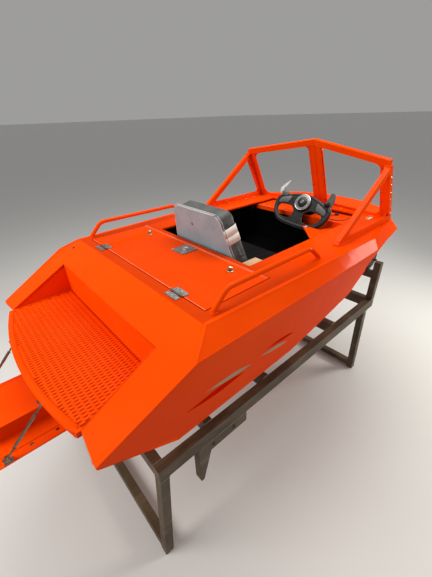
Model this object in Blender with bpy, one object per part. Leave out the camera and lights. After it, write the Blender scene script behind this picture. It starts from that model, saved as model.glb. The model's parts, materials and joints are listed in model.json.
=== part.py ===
"""Mini jet boat on its transport stand, as separate named solids in metres.

Boat frame: X forward from the aft edge of the deck, Y to port, Z up from the deck.
The empty boat_frame carries it, so that the floor under the stand is world Z = 0.
"""
import math

import bmesh
import bpy
from mathutils import Matrix, Vector

for old in list(bpy.data.objects):
    bpy.data.objects.remove(old)

# Place of the boat frame in the world
DECK_HEIGHT = 1.47
FRAME_SHIFT = -0.6875

# Gap between pieces that touch
GAP = 0.0003

# Plate thicknesses, framing included
SIDE_T = 0.020
BOTTOM_T = 0.020
DECK_T = 0.012
LINER_T = 0.012

# Hull lines
KNUCKLE_Z = -0.060
# Each row: x_sheer, y_sheer, x_knuckle, y_knuckle, x_chine, y_chine, z_chine, x_keel, z_keel
HULL_ROWS = (
    (0.000, 0.650, -0.113, 0.732, -0.180, 0.650, -0.510, 0.030, -0.6468),
    (0.600, 0.672, 0.600, 0.732, 0.600, 0.650, -0.487, 0.600, -0.630),
    (1.000, 0.682, 1.000, 0.732, 0.900, 0.650, -0.437, 0.950, -0.585),
    (1.319, 0.692, 1.300, 0.731, 1.220, 0.648, -0.378, 1.250, -0.515),
    (1.545, 0.646, 1.536, 0.694, 1.500, 0.612, -0.317, 1.530, -0.430),
    (1.771, 0.600, 1.772, 0.658, 1.720, 0.545, -0.262, 1.750, -0.335),
    (1.950, 0.485, 1.950, 0.545, 1.860, 0.430, -0.235, 1.880, -0.270),
    (2.060, 0.350, 2.080, 0.390, 1.970, 0.290, -0.212, 1.980, -0.228),
    (2.120, 0.180, 2.150, 0.200, 2.030, 0.150, -0.200, 2.035, -0.205),
    (2.140, 0.000, 2.175, 0.000, 2.050, 0.000, -0.195, 2.052, -0.198),
)

# Stern slope, from the deck edge down to the tips of the two wings
SLOPE = 0.55
TIP_X = -0.508
TIP_Y = 0.690
TIP_EDGE = 0.020

# Swim platform recess
RECESS_X = -0.160
RECESS_Y = 0.529
PLATFORM_Z = -0.271
PLATFORM_T = 0.028
PLATFORM_R = 2.000
PLATFORM_AFT_X = -0.582

# Engine hatch
HATCH_X = (0.062, 0.458)
HATCH_Y = 0.570
HATCH_GAP = 0.006
HINGE_X = 0.056
HINGE_Z = 0.007
HINGE_Y = 0.381
KNOB_X = 0.380
KNOB_Y = 0.386

# Cockpit
COAMING_Y = 0.420
COCKPIT_X = (0.490, 1.500)
LINER_Y = 0.436
FLOOR_Z = -0.455
FLOOR_BEND_X = 0.800
TOE_X = 1.480
TOE_Z = -0.285
DASH_Z = -0.026
DASH_FRONT_X = 1.720

# Helm panel, sloping from the starboard coaming to below the dash shelf
PANEL_X = (1.075, 1.350, 1.509)
PANEL_Y = (-0.400, -0.155, -0.302)
PANEL_TOP = -0.0125
PANEL_SLOPE = 0.110
PANEL_T = 0.008

# Seat backrest, leaning aft
BACK_X = 0.512
BACK_LEAN = math.radians(12)
BACK_TOP = 0.215
BACK_LOW = -0.140
BACK_SHELL_T = 0.014
BACK_PAD_T = 0.108
BACK_HALF_LOW = 0.292
BACK_HALF_TOP = 0.215

# Steering
HUB = (1.479, -0.060, 0.070)
COLUMN_TILT = math.radians(35)
WHEEL_TURN = math.radians(5)
RIM_R = 0.0125
# Centre line of one half of the rim, in the wheel's plane: y, z
WHEEL_RIM = (
    (0.000, 0.062), (0.070, 0.052), (0.135, 0.034), (0.190, 0.020), (0.224, 0.004), (0.234, -0.030),
    (0.226, -0.080), (0.198, -0.128), (0.156, -0.158), (0.105, -0.170), (0.050, -0.173), (0.000, -0.174),
)

# Kill-switch lanyard lying on the dash shelf: x, y of its middle line
LANYARD_R = 0.002
LANYARD = (
    (1.6570, -0.2400), (1.6400, -0.2300), (1.6120, -0.2200), (1.5820, -0.2240), (1.5580, -0.2420),
    (1.5450, -0.2690), (1.5450, -0.2990), (1.5580, -0.3260), (1.5820, -0.3440), (1.6120, -0.3500),
    (1.6400, -0.3500), (1.6620, -0.3580), (1.6700, -0.3740), (1.6620, -0.3890), (1.6400, -0.3970),
    (1.6120, -0.3990), (1.5850, -0.4000), (1.5600, -0.4010), (1.5450, -0.4010),
)
CLIP_R = 0.0055

# Windscreen frame
SCREEN_CORNER = (1.554, 0.590, 0.393)
SCREEN_CENTRE = (1.625, 0.0, 0.485)
SCREEN_BASE_CORNER = (1.745, 0.590, 0.012)
SCREEN_BASE_CENTRE = (1.835, 0.0, 0.012)
SCREEN_FOOT = (1.030, 0.590, 0.012)

# Jet
JET_Z = -0.535
JET_R = 0.070
NOZZLE_X = -0.412
COVER_Z = -0.440
COVER_HALF = 0.130
COVER_FLANGE = 0.260
COVER_SEAM_Z = -0.520
COVER_X = (-0.800, -0.300)

# Stand
BEAM = 0.050
RAIL_H = 0.080
STAND_Y = 0.575
STAND_TOP = -0.715
STAND_X = (-0.255, 1.850)
LEG_LEAN = 0.055
UPRIGHT_TOP = -0.380
ROLL_R = 0.100
ROLL_Y = 0.400
ROLL_Z = -0.3700

ORANGE = ("orange_paint", (0.90, 0.13, 0.01), 0.32, 0.0)
BLACK = ("black_liner", (0.012, 0.012, 0.014), 0.75, 0.0)
STEEL = ("stainless", (0.62, 0.62, 0.63), 0.25, 1.0)
ALUMINIUM = ("bare_aluminium", (0.55, 0.56, 0.57), 0.40, 1.0)
PRIMER = ("brown_primer", (0.13, 0.085, 0.055), 0.60, 0.0)
SHELL_GREY = ("shell_grey", (0.33, 0.33, 0.36), 0.50, 0.0)
PAD_GREY = ("pad_grey", (0.10, 0.11, 0.11), 0.60, 0.0)
SEAT_BLACK = ("seat_black", (0.014, 0.014, 0.015), 0.60, 0.0)
LANYARD_RED = ("lanyard_red", (0.060, 0.004, 0.005), 0.50, 0.0)
GRIP = ("grip_rubber", (0.03, 0.03, 0.03), 0.55, 0.0)
BOARD = ("beige_board", (0.62, 0.47, 0.33), 0.70, 0.0)
CAST = ("engine_grey", (0.22, 0.22, 0.23), 0.50, 0.0)

root = bpy.data.objects.new("boat_frame", None)
root.location = (FRAME_SHIFT, 0.0, DECK_HEIGHT)
bpy.context.scene.collection.objects.link(root)


def material(look):
    """The shared Principled material of one finish."""
    name, colour, rough, metal = look
    found = bpy.data.materials.get(name)
    if found:
        return found
    made = bpy.data.materials.new(name)
    made.use_nodes = True
    shader = made.node_tree.nodes["Principled BSDF"]
    shader.inputs["Base Color"].default_value = (*colour, 1.0)
    shader.inputs["Roughness"].default_value = rough
    shader.inputs["Metallic"].default_value = metal
    made.diffuse_color = (*colour, 1.0)
    return made


def place(name, mesh, look, origin=(0, 0, 0)):
    """Adds a mesh as one object whose origin is a point of the boat frame."""
    mesh.transform(Matrix.Translation(-Vector(origin)))
    mesh.materials.append(material(look))
    made = bpy.data.objects.new(name, mesh)
    made.parent = root
    made.location = origin
    bpy.context.scene.collection.objects.link(made)
    return made


def solid(name, points, faces, look, origin=(0, 0, 0)):
    """A closed mesh from points and faces, its normals turned out."""
    mesh = bpy.data.meshes.new(name)
    mesh.from_pydata([tuple(p) for p in points], [], faces)
    shape = bmesh.new()
    shape.from_mesh(mesh)
    bmesh.ops.recalc_face_normals(shape, faces=shape.faces)
    if shape.calc_volume(signed=True) < 0:
        bmesh.ops.reverse_faces(shape, faces=shape.faces)
    shape.to_mesh(mesh)
    shape.free()
    return place(name, mesh, look, origin)


def loft(name, rings, look, origin=(0, 0, 0)):
    """A closed solid through rings that have the same number of points."""
    size = len(rings[0])
    points = [point for ring in rings for point in ring]
    faces = [tuple(range(size)), tuple((len(rings) - 1) * size + i for i in range(size))]
    for row in range(len(rings) - 1):
        for i in range(size):
            j = (i + 1) % size
            low = row * size
            faces.append((low + i, low + j, low + size + j, low + size + i))
    return solid(name, points, faces, look, origin)


def prism(name, outline, axis, low, high, look, origin=(0, 0, 0)):
    """An outline in the two other axes, extruded along one axis."""
    def ring(at):
        if axis == "x":
            return [(at, u, v) for u, v in outline]
        if axis == "y":
            return [(u, at, v) for u, v in outline]
        return [(u, v, at) for u, v in outline]
    return loft(name, [ring(low), ring(high)], look, origin)


def box(name, low, high, look, origin=(0, 0, 0)):
    """An upright box from its low corner to its high corner."""
    outline = [(low[0], low[1]), (high[0], low[1]), (high[0], high[1]), (low[0], high[1])]
    return prism(name, outline, "z", low[2], high[2], look, origin)


def beam(name, points, across, width, depth, look, origin=(0, 0, 0)):
    """A bar of rectangular section along points; across is the direction of its width."""
    rings = []
    for at, point in enumerate(points):
        before = Vector(points[max(at - 1, 0)])
        after = Vector(points[min(at + 1, len(points) - 1)])
        along = (after - before).normalized()
        wide = Vector(across)
        wide = (wide - wide.dot(along) * along).normalized()
        deep = along.cross(wide)
        middle = Vector(point)
        corners = ((1, 1), (1, -1), (-1, -1), (-1, 1))
        rings.append([middle + wide * (width / 2 * u) + deep * (depth / 2 * v) for u, v in corners])
    return loft(name, rings, look, origin)


def arc_points(points, radius, steps=5):
    """The route with its inner corners rounded."""
    route = [Vector(points[0])]
    for before, corner, after in zip(points, points[1:], points[2:]):
        corner = Vector(corner)
        start = corner + (Vector(before) - corner).normalized() * radius
        end = corner + (Vector(after) - corner).normalized() * radius
        for step in range(steps + 1):
            t = step / steps
            route.append(start * (1 - t) ** 2 + corner * (2 * t * (1 - t)) + end * t ** 2)
    route.append(Vector(points[-1]))
    return route


def tube(name, points, radius, look, origin=(0, 0, 0), sides=16, closed=False):
    """A round bar along points, one radius or one for each point."""
    radii = radius if isinstance(radius, (list, tuple)) else [radius] * len(points)
    rings = []
    up = Vector((0.13, 0.21, 0.97)).normalized()
    count = len(points)
    for at, point in enumerate(points):
        before = Vector(points[(at - 1) % count] if closed else points[max(at - 1, 0)])
        after = Vector(points[(at + 1) % count] if closed else points[min(at + 1, count - 1)])
        along = (after - before).normalized()
        wide = (up - up.dot(along) * along).normalized()
        deep = along.cross(wide)
        up = wide
        turns = [2 * math.pi * i / sides for i in range(sides)]
        ring = [Vector(point) + (wide * math.cos(a) + deep * math.sin(a)) * radii[at] for a in turns]
        rings.append(ring)
    made = loft(name, rings, look, origin)
    made.data.polygons.foreach_set("use_smooth", [True] * len(made.data.polygons))
    return made


def revolved(name, profile, centre, direction, look, origin=(0, 0, 0), sides=32):
    """A closed profile of (along, radius) points, turned about an axis through centre."""
    turn = Vector((0, 0, 1)).rotation_difference(Vector(direction)).to_matrix()
    points = []
    faces = []
    count = len(profile)
    for i in range(sides):
        a = 2 * math.pi * i / sides
        for along, r in profile:
            points.append(Vector(centre) + turn @ Vector((r * math.cos(a), r * math.sin(a), along)))
    for i in range(sides):
        j = (i + 1) % sides
        for k in range(count):
            n = (k + 1) % count
            faces.append((i * count + k, i * count + n, j * count + n, j * count + k))
    mesh = bpy.data.meshes.new(name)
    mesh.from_pydata([tuple(p) for p in points], [], faces)
    shape = bmesh.new()
    shape.from_mesh(mesh)
    bmesh.ops.remove_doubles(shape, verts=shape.verts, dist=0.00002)
    bmesh.ops.recalc_face_normals(shape, faces=shape.faces)
    if shape.calc_volume(signed=True) < 0:
        bmesh.ops.reverse_faces(shape, faces=shape.faces)
    shape.to_mesh(mesh)
    shape.free()
    made = place(name, mesh, look, origin)
    made.data.polygons.foreach_set("use_smooth", [True] * len(made.data.polygons))
    return made


def boolean(body, tool, operation):
    """Joins a hidden tool to a body, or cuts it away."""
    tool.hide_render = True
    tool.display_type = "WIRE"
    change = body.modifiers.new(tool.name, "BOOLEAN")
    change.operation = operation
    change.solver = "EXACT"
    change.object = tool


def both_sides():
    """The name and the sign of each side of the boat."""
    return (("port", 1), ("stbd", -1))


def bottom_top(x, y):
    """Height of the upper face of the bottom plate, aft of the first bend."""
    return -0.487 + 0.023 / 0.78 * (x - 0.600) - 0.22 * (0.650 - abs(y)) + BOTTOM_T


def round_bow(rows, first, steps):
    """The rows with more between them from the first one on, along a smooth curve round the bow."""
    opposite = [-value if at in (1, 3, 5) else value for at, value in enumerate(rows[-2])]
    made = list(rows[:first])
    for k in range(first, len(rows) - 1):
        b, c = rows[k], rows[k + 1]
        a = rows[k - 1] if k > first else [2 * p - q for p, q in zip(b, c)]
        d = rows[k + 2] if k + 2 < len(rows) else opposite
        for i in range(steps):
            t = i / steps
            made.append(tuple(0.5 * (2 * q + (r - p) * t + (2 * p - 5 * q + 4 * r - s) * t * t
                                     + (3 * q - p - 3 * r + s) * t ** 3) for p, q, r, s in zip(a, b, c, d)))
    made.append(rows[-1])
    return made


HULL_STATIONS = round_bow(HULL_ROWS, 5, 3)


def refined(rings, steps):
    """The same straight-edged loft with rings added between, so that twisted panels stay smooth."""
    made = []
    for near, far in zip(rings, rings[1:]):
        for k in range(steps):
            made.append([Vector(a).lerp(Vector(b), k / steps) for a, b in zip(near, far)])
    made.append(rings[-1])
    return made


def inward(x_knuckle):
    """How far the inner face of a side plate lies aft of and inboard of its outer face."""
    lean = min(1.0, max(0.0, (x_knuckle - 1.5) / 0.68)) * SIDE_T
    return lean, math.sqrt(SIDE_T ** 2 - lean ** 2)


def hull():
    """Bottom, side and gunwale panels, each through the same stations."""
    rings = []
    for xs, ys, xk, yk, xc, yc, zc, xb, zb in HULL_STATIONS:
        yc = max(yc, 0.03)
        rise = BOTTOM_T
        rings.append([
            (xc, yc, zc), (xb, 0, zb), (xc, -yc, zc),
            (xc, -yc, zc + rise), (xb, 0, zb + rise), (xc, yc, zc + rise),
        ])
    bottom = loft("hull_bottom", refined(rings, 2), ORANGE)
    cutter = box("intake_opening", (-0.30, -0.085, -0.75), (0.46, 0.085, -0.50), BLACK)
    boolean(bottom, cutter, "DIFFERENCE")
    for side, s in both_sides():
        rings = [[
            (TIP_X, s * TIP_Y, SLOPE * TIP_X),
            (TIP_X + 0.004, s * (TIP_Y - 0.004), SLOPE * TIP_X - TIP_EDGE),
            (TIP_X + 0.004, s * (TIP_Y - 0.004 - SIDE_T), SLOPE * TIP_X - TIP_EDGE),
            (TIP_X, s * (TIP_Y - SIDE_T), SLOPE * TIP_X),
        ]]
        gunwale = []
        for xs, ys, xk, yk, xc, yc, zc, xb, zb in HULL_STATIONS:
            low = zc + BOTTOM_T + GAP
            if yk == 0:
                ys = yk = yc = GAP / 2
                inner = [(xc - SIDE_T, s * yc, low), (xk - SIDE_T, s * yk, KNUCKLE_Z - GAP)]
                top = [(xk - SIDE_T, s * yk, KNUCKLE_Z), (xs - SIDE_T, s * ys, -0.016),
                       (xs - SIDE_T, s * ys, 0)]
            else:
                lean, shift = inward(xk)
                inner = [(xc - lean, s * (yc - shift), low), (xk - lean, s * (yk - shift), KNUCKLE_Z - GAP)]
                top = [(xk - lean, s * (yk - shift), KNUCKLE_Z), (xs - lean, s * (ys - shift), -0.016),
                       (xs - lean, s * (ys - shift), 0)]
            rings.append([(xk, s * yk, KNUCKLE_Z - GAP), (xc, s * yc, low), *inner])
            gunwale.append([(xs, s * ys, 0), (xk, s * yk, KNUCKLE_Z), *top])
        loft("side_" + side, rings[:1] + refined(rings[1:], 3), ORANGE)
        loft("gunwale_" + side, refined(gunwale, 4), ORANGE)
    keel = []
    for x, z in ((0.600, -0.630), (0.950, -0.585), (1.250, -0.515), (1.530, -0.430), (1.750, -0.335)):
        top = z - 0.0005
        keel.append([(x, 0.010, top), (x, 0.007, top - 0.020), (x, -0.007, top - 0.020), (x, -0.010, top)])
    loft("keel_bar", keel, ORANGE)


def sheer_half(x):
    """Half-breadth of the deck at its edge strip."""
    rows = [(row[0], row[1]) for row in HULL_STATIONS]
    for (xa, ya), (xb, yb) in zip(rows, rows[1:]):
        if xa <= x <= xb:
            return ya + (yb - ya) * (x - xa) / (xb - xa)
    return rows[-1][1]


def decks():
    """Deck plates inside the gunwale strips."""
    edge = SIDE_T + GAP + 0.0004
    front = COCKPIT_X[0]
    opening = (HATCH_X[0] - HATCH_GAP, HATCH_X[1] + HATCH_GAP, HATCH_Y + HATCH_GAP)
    outline = [(GAP, 0.650 - edge), (front, sheer_half(front) - edge),
               (front, -sheer_half(front) + edge), (GAP, -0.650 + edge)]
    aft = prism("aft_deck", outline, "z", -DECK_T, 0, ORANGE)
    cutter = box("hatch_opening", (opening[0], -opening[2], -0.1), (opening[1], opening[2], 0.1), BLACK)
    boolean(aft, cutter, "DIFFERENCE")
    outer = [(front + GAP, sheer_half(front) - edge)]
    for row in HULL_STATIONS[2:-1]:
        lean, shift = inward(row[2])
        outer.append((row[0] - lean * 1.08, row[1] - shift * 1.06))
    outer.append((HULL_STATIONS[-1][0] - SIDE_T - 0.001, 0.0))
    outer += [(x, -y) for x, y in reversed(outer[:-1])]
    inner = [(front + GAP, -COAMING_Y), (DASH_FRONT_X, -COAMING_Y),
             (DASH_FRONT_X, COAMING_Y), (front + GAP, COAMING_Y)]
    prism("foredeck", outer + inner, "z", -DECK_T, 0, ORANGE)


def stern():
    """Slope plate, recess walls, swim platform and raked transom."""
    def on_slope(x, y, drop=0.0):
        return (x, y, SLOPE * x - drop)
    edge = SIDE_T + GAP + 0.0005
    outline = [
        (-GAP, 0.650 - edge), (-0.113, 0.732 - edge), (TIP_X, TIP_Y - edge),
        (PLATFORM_Z / SLOPE, RECESS_Y), (RECESS_X, RECESS_Y),
    ]
    outline += [(x, -y) for x, y in reversed(outline)]
    lower = [(x, y - math.copysign(0.003, y) if abs(y) > RECESS_Y else y) for x, y in outline]
    rings = [[on_slope(x, y) for x, y in outline], [on_slope(x, y, 0.012) for x, y in lower]]
    loft("stern_slope", rings, ORANGE)
    under = 0.0125
    wall = box("recess_walls", (RECESS_X, -RECESS_Y - 0.012, PLATFORM_Z + GAP),
               (RECESS_X + 0.012, RECESS_Y + 0.012, SLOPE * RECESS_X - under - 0.0005), ORANGE)
    aft = (PLATFORM_Z + under + 0.002) / SLOPE
    cheek = [(RECESS_X + 0.006, PLATFORM_Z + GAP), (aft, PLATFORM_Z + GAP),
             (RECESS_X + 0.006, SLOPE * RECESS_X - under - 0.0005)]
    for side, s in both_sides():
        y = sorted((s * RECESS_Y, s * (RECESS_Y + 0.012)))
        boolean(wall, prism("recess_cheek_" + side, cheek, "y", y[0], y[1], ORANGE), "UNION")
    inboard = RECESS_Y - 0.0005
    outline = [(RECESS_X + 0.03, 0.660), (-0.462, 0.660), (-0.462, inboard)]
    steps = 16
    for i in range(steps + 1):
        y = inboard - 2 * inboard * i / steps
        outline.append((PLATFORM_AFT_X + PLATFORM_R - math.sqrt(PLATFORM_R ** 2 - y * y), y))
    outline += [(-0.462, -inboard), (-0.462, -0.660), (RECESS_X + 0.03, -0.660)]
    prism("swim_platform", outline, "z", PLATFORM_Z - PLATFORM_T, PLATFORM_Z, ORANGE)
    rake = 0.140 / 0.210
    top = PLATFORM_Z - PLATFORM_T - GAP
    notch = COVER_HALF + 0.004
    outline = [
        (notch, bottom_top(0.02, notch) + 0.001), (0.622, bottom_top(-0.17, 0.622) + 0.001), (0.660, top),
        (-0.660, top), (-0.622, bottom_top(-0.17, 0.622) + 0.001), (-notch, bottom_top(0.02, notch) + 0.001),
        (-notch, COVER_Z + 0.004), (notch, COVER_Z + 0.004),
    ]
    rings = []
    for t in (0.001, 0.018):
        rings.append([(-0.18 - (z + 0.51) / rake + t, y, z) for y, z in outline])
    loft("transom", rings, ORANGE)


def hatch():
    """Engine hatch with its hinges, latch plate and knobs."""
    pin = (HINGE_X, 0, HINGE_Z)
    lid = box("engine_hatch", (HATCH_X[0], -HATCH_Y, -DECK_T), (HATCH_X[1], HATCH_Y, 0), ORANGE, pin)
    rib = box("hatch_rib", (0.12, -0.50, -0.030), (0.42, 0.50, -0.006), ORANGE, pin)
    boolean(lid, rib, "UNION")
    for side, s in both_sides():
        y = s * HINGE_Y
        base = box("hinge_base_" + side, (0.018, y - 0.044, GAP), (HINGE_X - 0.012, y + 0.044, 0.0033), STEEL)
        tongue = box("hinge_tongue_" + side, (0.030, y - 0.020, GAP), (HINGE_X, y + 0.020, 0.0033), STEEL)
        boolean(base, tongue, "UNION")
        barrel = revolved("hinge_barrel_" + side, [(-0.0200, 0), (-0.0200, 0.0055), (0.0200, 0.0055), (0.0200, 0)],
                          (HINGE_X, y, HINGE_Z), (0, 1, 0), STEEL)
        boolean(base, barrel, "UNION")
        leaf = box("hinge_leaf_" + side, (HINGE_X + 0.008, y - 0.044, GAP), (0.094, y + 0.044, 0.0033), STEEL, pin)
        for end, low in (("a", -0.044), ("b", 0.0206)):
            outline = [(HINGE_X, 0.0018), (HINGE_X + 0.012, GAP + 0.0001), (HINGE_X + 0.012, 0.0032), (HINGE_X + 0.004, 0.0118),
                       (HINGE_X, 0.0125), (HINGE_X - 0.005, 0.0085), (HINGE_X - 0.005, 0.0050)]
            knuckle = prism("hinge_knuckle_" + side + end, outline, "y", y + low, y + low + 0.0234, STEEL, pin)
            boolean(leaf, knuckle, "UNION")
    latch = box("hatch_latch", (0.326, -0.055, GAP), (0.436, 0.055, 0.0035), STEEL, pin)
    button = revolved("latch_button", [(0.002, 0), (0.002, 0.018), (0.008, 0.016), (0.008, 0)],
                      (0.381, 0, 0), (0, 0, 1), STEEL, pin)
    boolean(latch, button, "UNION")


def rails():
    """Handrails on the side decks, round tube with bent feet."""
    for side, s in both_sides():
        y = s * 0.608
        bends = [(0.076, y, 0.012), (0.150, y, 0.087), (0.735, y, 0.080), (0.818, y, 0.012)]
        route = [Vector((0.076, y, 0.0005))] + arc_points(bends, 0.030) + [Vector((0.818, y, 0.0005))]
        rail = tube("handrail_" + side, route, 0.0125, ORANGE)
        for x in (0.076, 0.818):
            foot = revolved("rail_foot_%s_%d" % (side, x * 1000),
                            [(GAP, 0), (GAP, 0.018), (0.006, 0.016), (0.006, 0)], (x, y, 0), (0, 0, 1), ORANGE)
            boolean(rail, foot, "UNION")


def cockpit():
    """Liner walls, floor, dash, seat and the board beside it."""
    top = -DECK_T - GAP
    x0 = COCKPIT_X[0] + 0.006
    floor = [(x0, top), (x0 + LINER_T, top), (x0 + LINER_T, FLOOR_Z), (FLOOR_BEND_X, FLOOR_Z), (TOE_X, TOE_Z),
             (TOE_X, TOE_Z - 0.014), (FLOOR_BEND_X, FLOOR_Z - LINER_T), (x0, FLOOR_Z - LINER_T)]
    prism("cockpit_floor", floor, "y", -LINER_Y, LINER_Y, BLACK)
    wall = [(x0, FLOOR_Z - LINER_T), (FLOOR_BEND_X, FLOOR_Z - LINER_T), (TOE_X, TOE_Z - 0.014),
            (TOE_X + 0.04, TOE_Z - 0.014), (TOE_X + 0.04, top - 0.055), (1.45, top - 0.055), (1.40, top), (x0, top)]
    for side, s in both_sides():
        y = sorted((s * (LINER_Y + GAP), s * (LINER_Y + GAP + LINER_T)))
        prism("liner_" + side, wall, "y", y[0], y[1], BLACK)
    shelf = [(COCKPIT_X[1], DASH_Z), (DASH_FRONT_X + 0.02, DASH_Z), (DASH_FRONT_X + 0.02, DASH_Z - 0.010),
             (COCKPIT_X[1] + 0.010, DASH_Z - 0.010), (COCKPIT_X[1] + 0.010, DASH_Z - 0.030), (COCKPIT_X[1], DASH_Z - 0.030)]
    prism("dash_shelf", shelf, "y", -COAMING_Y - 0.014, COAMING_Y + 0.014, ORANGE)
    face = [(COCKPIT_X[1] + 0.016, DASH_Z - 0.0103), (COCKPIT_X[1] + 0.028, DASH_Z - 0.0103),
            (COCKPIT_X[1] + 0.028, -0.170), (TOE_X + 0.014, TOE_Z - 0.014), (TOE_X + GAP, TOE_Z - 0.014),
            (COCKPIT_X[1] + 0.016, -0.165)]
    prism("dash_face", face, "y", -LINER_Y, LINER_Y, BLACK)


def helm_panel():
    """Sloping panel, its riser below the shelf's lip and its wall under the side deck."""
    def height(x):
        return PANEL_TOP - PANEL_SLOPE * (x - PANEL_X[0] + 0.075)
    aft, knee, fore = PANEL_X
    wall = -LINER_Y + 0.0003
    plan = [(aft - 0.06, wall), (aft, PANEL_Y[0]), (knee, PANEL_Y[1]), (knee, PANEL_Y[2]),
            (fore, PANEL_Y[2]), (fore, wall)]
    rings = [[(x, y, height(x) - drop) for x, y in plan] for drop in (PANEL_T, 0.0)]
    panel = loft("helm_panel", rings, ORANGE)
    riser = box("helm_riser", (fore - PANEL_T, wall, -0.135), (fore, -0.060, DASH_Z - 0.0305), ORANGE)
    boolean(panel, riser, "UNION")
    web = prism("helm_web", [(aft + 0.10, PANEL_TOP), (aft + 0.10, height(aft + 0.10) - 0.004),
                             (1.4995, height(1.4995) - 0.004), (1.4995, PANEL_TOP)], "y", wall, wall + 0.008, ORANGE)
    boolean(panel, web, "UNION")


def seat():
    """Backrest shell and pad, seat box and cushion."""
    lean = Matrix.Rotation(-BACK_LEAN, 4, "Y")

    def outline(inset):
        half_low = BACK_HALF_LOW - inset
        half_top = BACK_HALF_TOP - inset
        high = BACK_TOP / math.cos(BACK_LEAN) - inset
        low = BACK_LOW / math.cos(BACK_LEAN) + inset
        radius = 0.060
        points = [(half_low, low)]
        for i in range(7):
            a = math.radians(15 * i)
            points.append((half_top - radius + radius * math.cos(a), high - radius + radius * math.sin(a)))
        mirrored = [(-y, z) for y, z in reversed(points)]
        return points + mirrored

    def slab(name, near, far, inset, look):
        rings = []
        for x in (near, far):
            rings.append([Vector((BACK_X, 0, 0)) + lean @ Vector((x, y, z)) for y, z in outline(inset)])
        return loft(name, rings, look)

    slab("backrest_shell", 0, BACK_SHELL_T, 0.0, SHELL_GREY)
    slab("backrest_pad", BACK_SHELL_T + GAP, BACK_SHELL_T + BACK_PAD_T, 0.002, PAD_GREY)
    base = [(0.525, FLOOR_Z + GAP), (0.780, FLOOR_Z + GAP), (1.000, -0.270), (1.000, -0.230), (0.525, -0.230)]
    prism("seat_box", base, "y", -0.260, 0.260, BLACK)
    box("seat_cushion", (0.525, -0.270, -0.230 + GAP), (1.020, 0.270, BACK_LOW - 0.0005), SEAT_BLACK)
    box("seat_board", (0.512, -LINER_Y, -0.050), (0.645, -0.318, -0.032), BOARD)


def steering():
    """Wheel, its throttle paddle, and the column housing on the dash."""
    hub = Vector(HUB)
    turn = Matrix.Rotation(COLUMN_TILT, 4, "Y") @ Matrix.Rotation(WHEEL_TURN, 4, "X")
    # Wheel frame: x forward along the column, y to port, z up the face of the wheel.

    def world(x, y, z):
        return hub + turn @ Vector((x, y, z))

    loop = list(WHEEL_RIM) + [(-y, z) for y, z in reversed(WHEEL_RIM[1:-1])]
    rim = []
    for i in range(len(loop)):
        a, b, c, d = (Vector((0, *loop[(i + k) % len(loop)])) for k in (-1, 0, 1, 2))
        for t in (0.0, 0.5):
            middle = 0.5 * (2 * b + (c - a) * t + (2 * a - 5 * b + 4 * c - d) * t * t
                            + (3 * b - a - 3 * c + d) * t ** 3)
            rim.append(world(*middle))
    count = len(rim)
    sides = 12
    points = []
    faces = []
    for i, point in enumerate(rim):
        along = (rim[(i + 1) % count] - rim[i - 1]).normalized()
        axle = turn @ Vector((1, 0, 0))
        wide = along.cross(axle).normalized()
        for k in range(sides):
            b = 2 * math.pi * k / sides
            points.append(point + (wide * math.cos(b) + axle * math.sin(b)) * RIM_R)
    for i in range(count):
        j = (i + 1) % count
        for k in range(sides):
            n = (k + 1) % sides
            faces.append((i * sides + k, i * sides + n, j * sides + n, j * sides + k))
    wheel = solid("steering_wheel", points, faces, GRIP, hub)
    spokes = (
        ((0.046, 0.056), (-0.046, 0.056), (-0.044, -0.172), (0.044, -0.172)),
        ((0.226, 0.002), (0.020, 0.052), (0.020, -0.046), (0.120, -0.038), (0.231, -0.054)),
        ((-0.020, 0.052), (-0.226, 0.002), (-0.231, -0.054), (-0.120, -0.038), (-0.020, -0.046)),
    )
    for number, outline in enumerate(spokes):
        web = 0.0070 - 0.0006 * number
        spoke = loft("wheel_spoke_%d" % number, [[world(x, y, z) for y, z in outline] for x in (-web, web)], GRIP, hub)
        boolean(wheel, spoke, "UNION")
    axis = turn @ Vector((-1, 0, 0))
    boss = revolved("wheel_boss", [(-0.030, 0), (-0.030, 0.030), (0.012, 0.045), (0.012, 0)], hub, axis, GRIP, hub)
    boolean(wheel, boss, "UNION")
    ring = [(0.0125, 0), (0.0125, 0.064), (0.020, 0.065), (0.025, 0.060), (0.026, 0.042), (0.026, 0)]
    revolved("hub_ring", ring, hub, axis, STEEL, hub)
    revolved("steering_column", [(-0.0305, 0), (-0.0305, 0.020), (-0.0745, 0.022), (-0.0745, 0)], hub, axis, BLACK)
    near = turn @ Vector((0.0750, 0, 0))
    face_up = turn @ Vector((0, 0, 0.034))
    low, high = hub + near - face_up, hub + near + face_up
    shelf = DASH_Z + GAP
    pod = [(low.x, low.z), (high.x, high.z), (high.x + 0.11, shelf), (low.x + 0.03, shelf)]
    prism("column_pod", pod, "y", hub.y - 0.038, hub.y + 0.038, BLACK)
    rings = []
    for x, y, z, wide in ((0.004, -0.150, 0.020, 0.014), (0.002, -0.186, 0.062, 0.022), (-0.008, -0.204, 0.104, 0.024),
                          (-0.018, -0.212, 0.130, 0.012)):
        rings.append([world(x - 0.005, y + wide * 0.8, z + wide * 0.3), world(x + 0.005, y + wide * 0.8, z + wide * 0.3),
                      world(x + 0.005, y - wide * 0.8, z - wide * 0.3), world(x - 0.005, y - wide * 0.8, z - wide * 0.3)])
    paddle = loft("throttle_paddle", rings, GRIP, hub)
    boolean(wheel, paddle, "UNION")


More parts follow.
